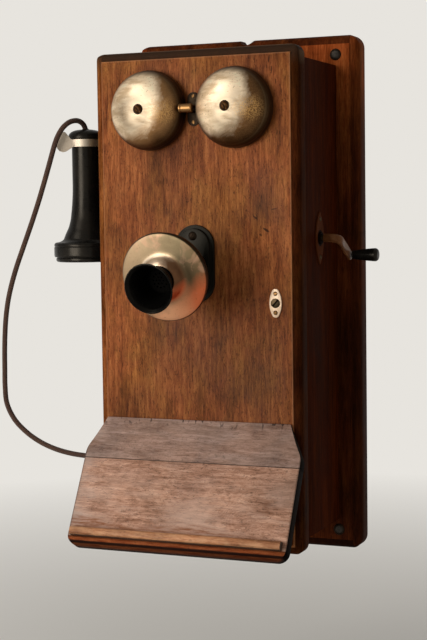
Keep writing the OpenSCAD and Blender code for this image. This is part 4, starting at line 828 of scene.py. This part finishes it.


# face plate: nickel with a painted reflection, pale at the upper left, darker towards the right and red below; its
# collar has a painted highlight at the upper left
def facePlateWithReflection():
    material, surface, coords = newMaterial("facePlateReflection")
    fromPivot = stretched(coords, shift=(0, -pivotY * mm, -pivotZ * mm))
    xyz = splitVector(stretched(fromPivot, turn=(-math.radians(tilt), 0, 0)))
    out = hypotenuse(xyz[0], xyz[2])
    clouds = noise(coords, 38, 5, 0.6, 0.6)
    specks = noise(stretched(coords, shift=(1, 2, 3)), 480, 3, 0.6)
    ragged = mulAdd(clouds, 0.030, -0.015)
    # painted reflection: pale at the upper left, darkening towards the right
    rightwards = add(add(xyz[0], mul(xyz[2], -0.25)), ragged)
    colour = ramp(spread(rightwards, -0.052, 0.034), (0.0, (0.40, 0.275, 0.165)), (0.40, (0.25, 0.180, 0.105)),
                  (0.72, (0.14, 0.105, 0.058)), (1.0, (0.125, 0.080, 0.040)))
    # painted red reflection below and to the right
    paintedRedReflection = spread(add(mulAdd(xyz[0], 0.7, mul(xyz[2], -1.0)), ragged), 0.018, 0.034, 0.0, 0.9)
    red = ramp(spread(xyz[0], 0.004, 0.036), (0.0, (0.66, 0.330, 0.180)), (0.45, (0.62, 0.255, 0.125)),
               (0.8, (0.56, 0.145, 0.058)), (1.0, (0.52, 0.120, 0.045)))
    colour = blend(paintedRedReflection, colour, red)
    rubbed = spread(noise(stretched(coords, shift=(5, 0, 1)), 55, 4, 0.6, 0.8), 0.52, 0.66, 0.0, 0.45)
    colour = blend(rubbed, colour, (0.46, 0.250, 0.160))
    # collar: painted highlight at its upper left, painted dark reflection at its right and painted red reflection at
    # its lower right
    collar = spread(out, 0.0245, 0.0205)
    bright = ramp(spread(rightwards, -0.030, 0.020), (0.0, (0.90, 0.74, 0.57)), (0.52, (0.66, 0.49, 0.34)),
                  (0.75, (0.16, 0.080, 0.040)), (1.0, (0.09, 0.040, 0.019)))
    ruddy = spread(sub(mul(xyz[0], 0.6), xyz[2]), 0.012, 0.020, 0.0, 0.8)
    colour = blend(collar, colour, blend(ruddy, bright, (0.62, 0.130, 0.048)))
    colour = blend(mul(spread(specks, 0.62, 0.74), 0.5), colour, (0.10, 0.050, 0.025))
    colour = dim(spread(out, 0.0407, 0.0415), colour, 0.18)
    rough = sub(spread(clouds, 0.35, 0.68, 0.42, 0.54), mul(collar, 0.14))
    paint(surface, colour, rough, (specks, 0.12, 0.0001), {"Metallic": 1.0})
    return material


facePlate = lathe("transmitter_face_spun", [
    (13.65, collarOut - 0.6, 0.2), (14.2, collarOut - 0.1, 0.4), (15.6, collarOut - 0.8, 0.8),
    (17.4, collarOut - 2.4, 1.2), (19.2, collarOut - 4.7, 1.2), (collarR - 0.4, collarOut - 6.9, 1.2),
    (collarR + 1.2, faceOut + 3.1, 1.2), (collarR + 4.0, faceOut + 2.3, 1.2), (30, faceOut + 1.8, 3),
    (faceR - 3, faceOut + 0.6, 2), (faceR - 0.7, faceOut, 0.6), (faceR, faceOut - 0.9, 0.5),
    (faceR, faceOut - 2.5, 0.3), (faceR - 0.8, faceOut - 2.6, 0.2), (faceR - 5, faceOut - 2.5, 0.3),
    (faceR - 5, faceOut - 1, 0.3),
    (collarR + 1, faceOut + 1.0, 1), (18.2, collarOut - 7, 1), (13.65, collarOut - 5, 0.3)],
    onTransmitter, 128, loop=True)
settle(facePlate, "transmitter", "gong_nickel", facePlateWithReflection(), "transmitter_face")

cup = lathe("transmitter_cup_spun", [
    (0, cupBack), (15.5, cupBack, 1), (17, cupBack + 0.2, 1), (24, cupBack + 1.6, 4), (faceR - 8, cupBack + 7, 5),
    (faceR - 2, cupBack + 13.5, 4), (faceR - 2, faceOut - 4.4, 0.5), (faceR - 0.4, faceOut - 4, 0.4),
    (faceR - 0.4, faceOut - 2.7, 0.3), (faceR - 4.6, faceOut - 2.7, 0.3), (faceR - 4.6, cupBack + 14, 3),
    (faceR - 9, cupBack + 10.2, 4), (24, cupBack + 4, 4), (0, cupBack + 3)], onTransmitter)
settle(cup, "transmitter", "black_iron", japan, "transmitter_cup")

# horn of the mouthpiece, with a rounded bead at the mouth
hornStart = collarOut + 0.5


def hornPoint(share, wall=0.0):
    radius = neckR + (mouthR - neckR) * (0.32 * share + 0.68 * share ** 2.1)
    return radius - wall, hornStart + (hornEnd - hornStart) * share


outside = [(neckR, collarOut - 5), (neckR, collarOut)] + [hornPoint(k / 28) for k in range(27)]
lip = [(mouthR - 0.15, hornEnd - 1.1), (mouthR + 0.1, hornEnd - 0.5), (mouthR - 0.2, hornEnd - 0.05),
       (mouthR - 0.9, hornEnd + 0.1), (mouthR - 1.5, hornEnd - 0.2), (mouthR - 1.9, hornEnd - 0.9)]
inside = [hornPoint(k / 28, hornWall) for k in range(26, -1, -1)] + [(neckR - hornWall, collarOut - 5)]
horn = lathe("mouthpiece_horn", outside + lip + inside, onTransmitter, 128, loop=True)
settle(horn, "transmitter", "hard_rubber", hornRubber, "mouthpiece")


# disc across the neck, pierced by rings of holes
def piercedDisc():
    given = newTree("piercedDisc", {"Radius": 0.0118, "Thickness": 0.002, "Hole radius": 0.0009, "Ring step": 0.0034})
    disc = addNode("GeometryNodeMeshCylinder", {"Vertices": 64, "Radius": given["Radius"], "Depth": given["Thickness"]})
    joined = addNode("GeometryNodeJoinGeometry")
    for ring in range(3):
        circle = addNode("GeometryNodeMeshCircle", {
            "Vertices": max(3, 6 * ring), "Radius": mul(given["Ring step"], float(ring))})
        feed(joined.inputs[0], addNode("GeometryNodeMergeByDistance", {"Geometry": circle, "Distance": 1e-5}))
    drill = addNode("GeometryNodeMeshCylinder", {"Vertices": 16, "Radius": given["Hole radius"], "Depth": 0.01})
    holes = addNode("GeometryNodeInstanceOnPoints", {"Points": joined, "Instance": drill})
    drills = addNode("GeometryNodeRealizeInstances", {0: holes})
    return closeTree(addNode("GeometryNodeMeshBoolean", {0: disc, 1: drills}, operation="DIFFERENCE"), given)


disc = newObject("mouthpiece_disc", [(0, 0, 0)])
runTree(disc, piercedDisc(), {"Radius": (neckR - hornWall + 0.2) * mm, "Finish": discRubber})
disc.data.transform(onTransmitter @ placed(0, 0, collarOut - 3))
shade(disc, 40)
settle(disc, "transmitter", "hard_rubber", discRubber)

receiverSet = {"x": -146.4, "y": -97.1, "z": 35.9, "length": 124.8, "neck": 14.3, "earR": 34.3, "topR": 18.4}
*place, top, neck, earR, topR = receiverSet.values()
onReceiver = placed(*place)
shell = lathe("receiver_shell_turned", [
    (neck - 3, top), (neck - 0.4, top, 0.3), (neck, top - 0.4, 0.3), (neck, top - 52, 12), (neck + 0.7, 60, 10),
    (neck + 2.6, 43, 10), (neck + 5, 34.6, 5), (neck + 7.6, 29.6, 4), (neck + 10.3, 22.6, 3), (earR - 6, 20.7, 1),
    (earR - 4.4, 20.4, 0.3), (earR - 4.4, 7.4), (earR - 7.4, 7.4), (earR - 7.4, 17, 1), (neck + 6, 20, 3),
    (neck + 1.8, 34, 5), (neck - 0.8, 43, 6), (neck - 3, 60, 4)], onReceiver, loop=True, steps=7)
settle(shell, "receiver", "hard_rubber", rubber, "receiver_shell")
earCap = lathe("receiver_ear_cap_turned", [
    (8.5, 2.6, 0.8), (14, 1.6, 4), (earR - 10, 0.4, 6), (earR - 5, 0, 1.5), (earR - 2.6, 0.7, 1),
    (earR - 1.9, 2.0, 0.5), (earR - 1.9, 3.9, 0.2), (earR - 2.8, 4.3, 0.2), (earR - 2.8, 4.8, 0.2),
    (earR - 0.5, 5.3, 0.4), (earR, 6.8, 0.8),
    (earR, 15.2, 0.3), (earR - 0.5, 15.6, 0.2), (earR - 0.5, 16.1, 0.2), (earR - 0.1, 16.5, 0.3), (earR - 0.3, 18.6, 1),
    (earR - 1.4, 19.9, 0.8), (earR - 3, 20.2, 0.6), (earR - 4.3, 20.3, 0.2), (earR - 4.3, 6.4), (8.5, 6.4, 0.8)],
    onReceiver, 128, loop=True)
settle(earCap, "receiver", "hard_rubber", rubber, "receiver_ear_cap")
topCap = lathe("receiver_top_cap_turned", [
    (0, top), (topR - 1.2, top, 0.4), (topR - 0.5, top + 1.0, 0.6), (topR - 0.6, top + 3.4, 1.2),
    (topR - 1.6, top + 5.6, 1.6), (topR - 3.6, top + 7.6, 1.6), (topR - 7, top + 9.1, 3), (6, top + 10, 2),
    (3.6, top + 10, 0.4), (3.2, top + 10.9, 0.3), (2.7, top + 10.9, 0.2), (2.7, top + 9), (0, top + 9)], onReceiver)
settle(topCap, "receiver", "hard_rubber", rubber, "receiver_top_cap")

# lock plate: two wide arcs that meet in blunt points, with a hole for the barrel
lockSet = {"front": -158.6, "arcR": 24.6, "arcOff": 18.4, "reach": 13.45, "blunt": 1.6, "barrel": 4.5, "ease": 0.35}


def lockPlate(steps=144):
    front, back, ease = lockSet["front"], at["doorFace"], lockSet["ease"]
    arcR, arcOff, reach, blunt = (lockSet[k] for k in ("arcR", "arcOff", "reach", "blunt"))

    def outline(angle):
        lens = math.sqrt(arcR ** 2 - (arcOff * math.sin(angle)) ** 2) - arcOff * abs(math.cos(angle))
        meet = max(blunt - abs(lens - reach), 0) / blunt
        return min(lens, reach) - meet ** 2 * blunt / 4

    # how far inside the outline, and y; None stands for the barrel's hole
    rings = [(None, back), (0.0, back), (0.0, front + ease), (ease * 0.3, front + ease * 0.3), (ease, front),
             (None, front)]
    verts = []
    for shrink, y in rings:
        for k in range(steps):
            a = 2 * math.pi * k / steps
            r = lockSet["barrel"] if shrink is None else outline(a) - shrink
            verts.append(((at["lockX"] + r * math.cos(a)) * mm, y * mm, (at["lockZ"] + r * math.sin(a)) * mm))
    plate = newObject("lock_plate", verts, quads(len(rings), steps, close=True))
    cleanNormals(plate)
    shade(plate, 40)
    return plate


settle(lockPlate(), "door", "nickel", lockMetal, "lock_escutcheon")

crankSet = {"x": 116.7, "angle": 62.3, "armR": 37.3, "armT": 3.2, "elbow": 8.0, "socketR": 4.1,
            "gripLength": 27.0, "gripR": 6.6, "gripGap": 1.3}
crankX, crankTurn, armR, armT, elbow, socketR, gripLength, gripR, gripGap = crankSet.values()
onCrank = placed(crankX, at["crankY"], at["crankZ"], crankTurn)
grip = lathe("crank_grip_turned", [
    (2.3, 0), (gripR - 2.9, 0, 0.3), (gripR - 2.3, 0.8, 0.4), (gripR - 2.5, 2.2, 0.5), (gripR - 1.9, 3.6, 1),
    (gripR - 1.2, gripLength * 0.36, 4), (gripR - 0.2, gripLength * 0.76, 4), (gripR, gripLength - 2.6, 1),
    (gripR - 1.2, gripLength - 0.6, 1), (gripR - 3, gripLength, 1.2), (0, gripLength), (0, gripLength - 2),
    (2.3, gripLength - 2)], onCrank @ placed(armT + gripGap, 0, -armR, 90, "Y"), 64)
settle(grip, "crank_grip", "hard_rubber", rubber, "crank_grip")


# crank arm: one bar that starts round on the shaft, turns through the elbow and flattens into the strap
def crankArm(count=40):
    centre, bend, quarter = armT / 2, elbow, math.pi / 2
    stations = []  # (x, z, direction angle, half width, half thickness, squareness)
    for k in range(5):
        stations.append((centre - bend - 7 + 7 * k / 4, 0, 0, socketR, socketR, 2))
    for k in range(1, 13):
        t = k / 12
        a = quarter * k / 12
        stations.append((centre - bend + bend * math.sin(a), -bend + bend * math.cos(a), a,
                         socketR + 0.5 * t, socketR - 1.9 * t, 2 + 1.2 * t))
    down = armR - bend
    for k in range(1, 15):
        t = k / 14
        wide = 4.6 + 0.5 * math.sin(math.pi * min(1, t * 1.1)) - 0.1 * t
        stations.append((centre, -bend - down * t, quarter, wide, max(1.6, 2.2 - 2.2 * t), 3.2 + 1.4 * min(1, t * 2)))
    for k in range(1, 9):
        a = quarter * k / 8.4
        thin = 1.6 * (1 - 0.25 * (k / 8) ** 4)
        stations.append((centre, -armR - 5.2 * math.sin(a), quarter, 5.2 * math.cos(a), thin, 4.6))

    def superellipse(size, value, square):
        return size * math.copysign(abs(value) ** (2 / square), value)

    verts = []
    for x, z, a, wide, thick, square in stations:
        for k in range(count):
            t = 2 * math.pi * k / count
            across, out = superellipse(wide, math.cos(t), square), superellipse(thick, math.sin(t), square)
            verts.append(((x + out * math.sin(a)) * mm, across * mm, (z + out * math.cos(a)) * mm))
    ends = [tuple(range(count)), tuple(range(len(verts) - count, len(verts)))]
    arm = newObject("crank_arm_forged", verts, quads(len(stations), count) + ends)
    arm.data.transform(onCrank)
    cleanNormals(arm)
    shade(arm, 45)
    return arm


settle(crankArm(), "crank", "brass", armBronze, "crank_arm")
print("turned pieces made")


# ---- receiver cord ----

cordSet = {"diameter": 5.3, "braid": 26, "pitch": 5.2}
cordRoute = [
    (-146.4, -97.1, 171.0), (-146.3, -100, 174.3), (-146.6, -103.7, 176.9), (-147.4, -108, 178.6),
    (-148.8, -112.3, 179.2), (-150.6, -116.5, 178.7), (-152.7, -120.3, 177.3), (-154.9, -123.5, 174.8),
    (-157.2, -125.9, 171.6), (-159.3, -127.6, 167.8), (-161.3, -128.6, 163.8), (-163.1, -129.2, 159.6),
    (-164.8, -129.4, 155.3), (-166.4, -129.3, 151), (-172.6, -128.7, 133.5), (-178.9, -128.2, 116),
    (-185.5, -127.6, 98.7), (-192.6, -126.9, 81.5), (-200.1, -126, 64.6), (-208, -124.6, 47.8),
    (-215.8, -123, 31.1), (-222.9, -121.1, 14), (-228.8, -119.2, -3.5), (-233.1, -117.1, -21.4),
    (-236, -115, -39.6), (-238.1, -112.9, -58), (-239.7, -110.7, -76.3), (-241.2, -108.4, -94.7),
    (-240.8, -106, -113), (-233.6, -103.4, -129.8), (-221, -101.1, -143.1), (-205.5, -99.3, -153.2),
    (-188.3, -98.1, -160), (-170.2, -97.5, -163.9), (-151.7, -97.2, -165.6), (-137.7, -97.1, -166),
    (-123.7, -97.1, -166), (-111.7, -97.1, -166), (-101.7, -97.1, -166)]


# points close together on one smooth curve through the route
def smoothRoute(points, step=1.6):
    p = [Vector(q) for q in points]
    p = [p[0] * 2 - p[1]] + p + [p[-1] * 2 - p[-2]]
    out = []
    for a, b, c, d in zip(p, p[1:], p[2:], p[3:]):
        ta, tb, tc = ((b - a).length ** 0.5, (c - b).length ** 0.5, (d - c).length ** 0.5)
        m1 = (c - b) + ((b - a) / ta - (c - a) / (ta + tb)) * tb
        m2 = (c - b) + ((d - c) / tc - (d - b) / (tb + tc)) * tb
        count = max(2, round((c - b).length / step))
        for t in (k / count for k in range(count)):
            out.append(b * (2 * t ** 3 - 3 * t ** 2 + 1) + m1 * (t ** 3 - 2 * t ** 2 + t)
                       + c * (3 * t ** 2 - 2 * t ** 3) + m2 * (t ** 3 - t ** 2))
    return [q * mm for q in out + [p[-2]]]


def cordTree():
    given = newTree("cordAlongRoute", {"Radius": 0.00265, "Sides": 20})
    curve = addNode("GeometryNodeMeshToCurve", {0: given["Geometry"]})
    length = addNode("GeometryNodeSplineParameter").outputs["Length"]
    keepLength = addNode("GeometryNodeStoreNamedAttribute", data_type="FLOAT", domain="POINT", feeds={
        "Geometry": curve, "Name": "cordLength", "Value": length})
    ring = addNode("GeometryNodeCurvePrimitiveCircle", {"Resolution": given["Sides"], "Radius": given["Radius"]})
    unit = vectorMath("NORMALIZE", addNode("GeometryNodeInputPosition"))
    keepRing = addNode("GeometryNodeStoreNamedAttribute", data_type="FLOAT_VECTOR", domain="POINT", feeds={
        "Geometry": ring, "Name": "cordRing", "Value": unit})
    return closeTree(addNode("GeometryNodeCurveToMesh", {
        "Curve": keepLength, "Profile Curve": keepRing, "Fill Caps": True}), given)


def braid():
    material, surface, coords = newMaterial("cordBraid")
    ring = splitVector(addNode("ShaderNodeAttribute", attribute_name="cordRing").outputs["Vector"])
    length = addNode("ShaderNodeAttribute", attribute_name="cordLength").outputs["Fac"]
    around = mul(calc("ARCTAN2", ring[1], ring[0]), cordSet["braid"] / 2)
    climb = mul(mul(length, 2 * math.pi / (cordSet["pitch"] * mm)), 2.0)
    weave = larger(calc("SINE", add(around, climb)), calc("SINE", sub(around, climb)))
    # painted shade in the gaps of the weave, and a lighter tone on the strands' crowns as painted highlight
    colour = ramp(mulAdd(weave, 0.5, 0.5), (0.0, (0.009, 0.003, 0.001)), (0.55, (0.036, 0.012, 0.0045)),
                  (1.0, (0.078, 0.028, 0.011)))
    colour = blend(spread(noise(coords, 55, 4, 0.6), 0.45, 0.75, 0, 0.45), colour, (0.10, 0.046, 0.021))
    paint(surface, colour, 0.78, (weave, 0.8, 0.00025), {"Sheen Weight": 0.10})
    return material


route = smoothRoute(cordRoute)
cord = newObject("receiver_cord_braided", route, edges=[(k, k + 1) for k in range(len(route) - 1)])
braidFinish = braid()
runTree(cord, cordTree(), {"Radius": cordSet["diameter"] / 2 * mm, "Sides": 20, "Finish": braidFinish})
cleanNormals(cord, 1e-7)
cord.data.polygons.foreach_set("use_smooth", [True] * len(cord.data.polygons))
cord.data.materials.clear()
cord.data.materials.append(braidFinish)
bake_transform(cord)
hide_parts("receiver_cord")


# ---- screws, by one tree ----

def screwTree():
    given = newTree("slottedScrews", {"Dome": 0.55, "Slot width": 0.26, "Slot depth": 0.35})
    ball = addNode("GeometryNodeMeshUVSphere", {"Segments": 32, "Rings": 16, "Radius": 1.0})
    flat = addNode("GeometryNodeTransform", {"Geometry": ball, "Scale": vector(1.0, 1.0, given["Dome"])})
    cutter = addNode("GeometryNodeMeshCube", {"Size": vector(2.6, given["Slot width"], 1.0)})
    lift = vector(0.0, 0.0, add(sub(given["Dome"], given["Slot depth"]), 0.5))
    lifted = addNode("GeometryNodeTransform", {"Geometry": cutter, "Translation": lift})
    cut = addNode("GeometryNodeMeshBoolean", {0: flat, 1: lifted}, operation="DIFFERENCE")
    aim, spin, size = (addNode("GeometryNodeInputNamedAttribute", {"Name": name}, data_type=kind).outputs[0]
                       for name, kind in (("aim", "FLOAT_VECTOR"), ("spin", "FLOAT"), ("size", "FLOAT")))
    aligned = addNode("FunctionNodeAlignRotationToVector", {"Vector": aim}, axis="Z")
    turned = addNode("FunctionNodeAxisAngleToRotation", {"Axis": (0, 0, 1), "Angle": spin})
    both = addNode("FunctionNodeRotateRotation", {0: aligned, 1: turned}, rotation_space="LOCAL")
    return closeTree(addNode("GeometryNodeInstanceOnPoints", {
        "Points": given["Geometry"], "Instance": cut, "Rotation": both, "Scale": size}), given)


slottedScrews = screwTree()


# spots: (x, y, z, aim, slot angle in degrees, head radius) in mm
def screws(name, body, slotName, finish, spots, dome=0.55, slotWidth=0.26, slotDepth=0.35):
    obj = newObject(name, [scaled(s[:3], mm) for s in spots])
    for key, kind, field, values in (
            ("aim", "FLOAT_VECTOR", "vector", [s[3] for s in spots]),
            ("spin", "FLOAT", "value", [math.radians(s[4]) for s in spots]),
            ("size", "FLOAT", "value", [s[5] * mm for s in spots])):
        for item, value in zip(obj.data.attributes.new(key, kind, "POINT").data, values):
            setattr(item, field, value)
    runTree(obj, slottedScrews, {"Dome": dome, "Slot width": slotWidth, "Slot depth": slotDepth, "Finish": finish})
    shade(obj, 35)
    settle(obj, body, slotName, finish)


front, outRight, outLeft = (0, -1, 0), (1, 0, 0), (-1, 0, 0)
# the second row: black discs under the bell screws, painted shadow of the holes round them
for name, finish, y, radius, shape in (("bell_screws", bellScrew, -188.4, 4.2, (0.46, 0.32, 0.42)),
                                       ("bell_screw_shadow_rings", blackBrass, -188.0, 5.0, (0.09, 0.1, 0.01))):
    screws(name, "door", "brass", finish, [
        (s * at["bellX"], y, at["bellZ"], front, a, radius) for s, a in ((-1, 128), (1, 118))], *shape)
wallScrewSet = {"x": 97.3, "z": 240.8, "face": -22.0, "radius": 4.2, "cup": 5.9}
aside, up, face, radius, cupR = wallScrewSet.values()
corners = [(x * aside, z * up, a) for x, z, a in ((1, 1, 20), (1, -1, 75), (-1, 1, -40), (-1, -1, 5))]
screws("wall_screws", "cabinet", "black_iron", blackIron, [
    (x, face - 0.6, z, front, a, radius) for x, z, a in corners], 0.16, 0.2, 0.12)
for number, (x, z, a) in enumerate(corners):
    cup = lathe("wall_screw_cup_%d" % number, [
        (radius - 0.3, 0), (radius - 0.3, 0.5, 0.2), (radius + 0.5, 1.3, 0.5), (cupR - 0.4, 0.7, 0.5), (cupR, 0)],
        placed(x, face, z, 90), 48, loop=True)
    settle(cup, "cabinet", "black_iron", blackBrass)
screws("clapper_plate_screws", "door", "nickel", rubbedBrass, [
    (0, -158.3, at["bellZ"] + s * 12.2, front, a, 1.7) for s, a in ((1, 60), (-1, 100))], 0.4, 0.45, 0.35)
screws("transmitter_base_screws", "door", "black_iron", blackBrass, [
    (0, -164.0, z, front, a, 4.3) for z, a in ((62.5, 60), (-4.5 + baseSet["raise"], 15))], 0.55, 0.14, 0.2)
for name, slotName, finish, radius, angles, shape in (
        ("lock_plate_screws", "nickel", rubbedBrass, 1.8, (10, 80), (0.5, 0.3, 0.35)),
        ("lock_plate_screw_rings", "black_iron", blackBrass, 2.15, (0, 0), (0.1, 0.1, 0.02))):
    screws(name, "door", slotName, finish, [
        (at["lockX"], lockSet["front"], at["lockZ"] + s * 8.9, front, a, radius)
        for s, a in zip((1, -1), angles)], *shape)
screws("crank_plate_screws", "cabinet", "brass", darkBrass, [
    (99.2, at["crankY"], at["crankZ"] + s * 18.5, outRight, a, 2.2) for s, a in ((1, 35), (-1, -20))])
screws("hinge_screws", "cabinet", "brass", brass, [
    (-99.0, -124.0, z + d, outLeft, 40 * d, 2.2) for z in (-165, 165) for d in (-15, 0, 15)], 0.3, 0.2, 0.18)
print("screws placed")


# ---- stage and light ----

# 1 where a ray comes from the camera, off a glossy surface or through glass
def seenRays():
    rays = addNode("ShaderNodeLightPath").outputs
    return larger(larger(rays["Is Camera Ray"], rays["Is Glossy Ray"]), rays["Is Transmission Ray"])


paleTone = (0.80, 0.775, 0.73)
floorSize, floorZ = 30.0, -0.42
floor = newObject("floor", [(x * floorSize, y * floorSize, floorZ) for x, y in ((-1, -1), (1, -1), (1, 1), (-1, 1))],
                  [(0, 1, 2, 3)])
floorMaterial, surface, coords = newMaterial("paleFloor")
feed(surface.inputs["Base Color"], paleTone)
feed(surface.inputs["Roughness"], 0.9)
glow = addNode("ShaderNodeEmission", {"Color": paleTone, "Strength": 1.0})
share = mul(seenRays(), spread(measure("LENGTH", coords), 0.30, 1.4))
mixed = addNode("ShaderNodeMixShader", {0: share, 1: surface, 2: glow})
feed(floorMaterial.node_tree.nodes["Material Output"].inputs[0], mixed)
floor.data.materials.append(floorMaterial)

world = bpy.data.worlds.new("paleRoom")
bpy.context.scene.world = world
world.use_nodes = True
begun["tree"] = world.node_tree
world.node_tree.nodes.clear()
room = addNode("ShaderNodeBackground", {"Color": (1.0, 0.97, 0.92), "Strength": 0.28})
strength = spread(addNode("ShaderNodeLightPath").outputs["Is Camera Ray"], 0.0, 1.0, 0.6, 1.0)
view = addNode("ShaderNodeBackground", {"Color": paleTone, "Strength": strength})
feed(addNode("ShaderNodeOutputWorld").inputs[0], addNode("ShaderNodeMixShader", {0: seenRays(), 1: room, 2: view}))

for name, place, target, size, energy, colour in (
        ("windowLight", (-0.89, -2.28, 0.10), (0, -0.2, 0.03), 1.3, 36, (1.0, 0.97, 0.92)),
        ("skyLight", (-1.25, -1.75, 1.35), (0, -0.2, 0.03), 1.2, 9, (1.0, 0.97, 0.92)),
        ("fillLight", (1.8, -1.6, 0.5), (0, -0.1, 0), 1.4, 1.5, (1.0, 0.95, 0.88))):
    data = bpy.data.lights.new(name, "AREA")
    data.shape = "DISK"
    data.size = size
    data.energy = energy
    data.color = colour
    lamp = link(bpy.data.objects.new(name, data))
    lamp.location = place
    lamp.rotation_euler = (Vector(target) - Vector(place)).to_track_quat("-Z", "Y").to_euler()
bpy.context.scene.view_settings.view_transform = "Standard"
print("stage and lights set")
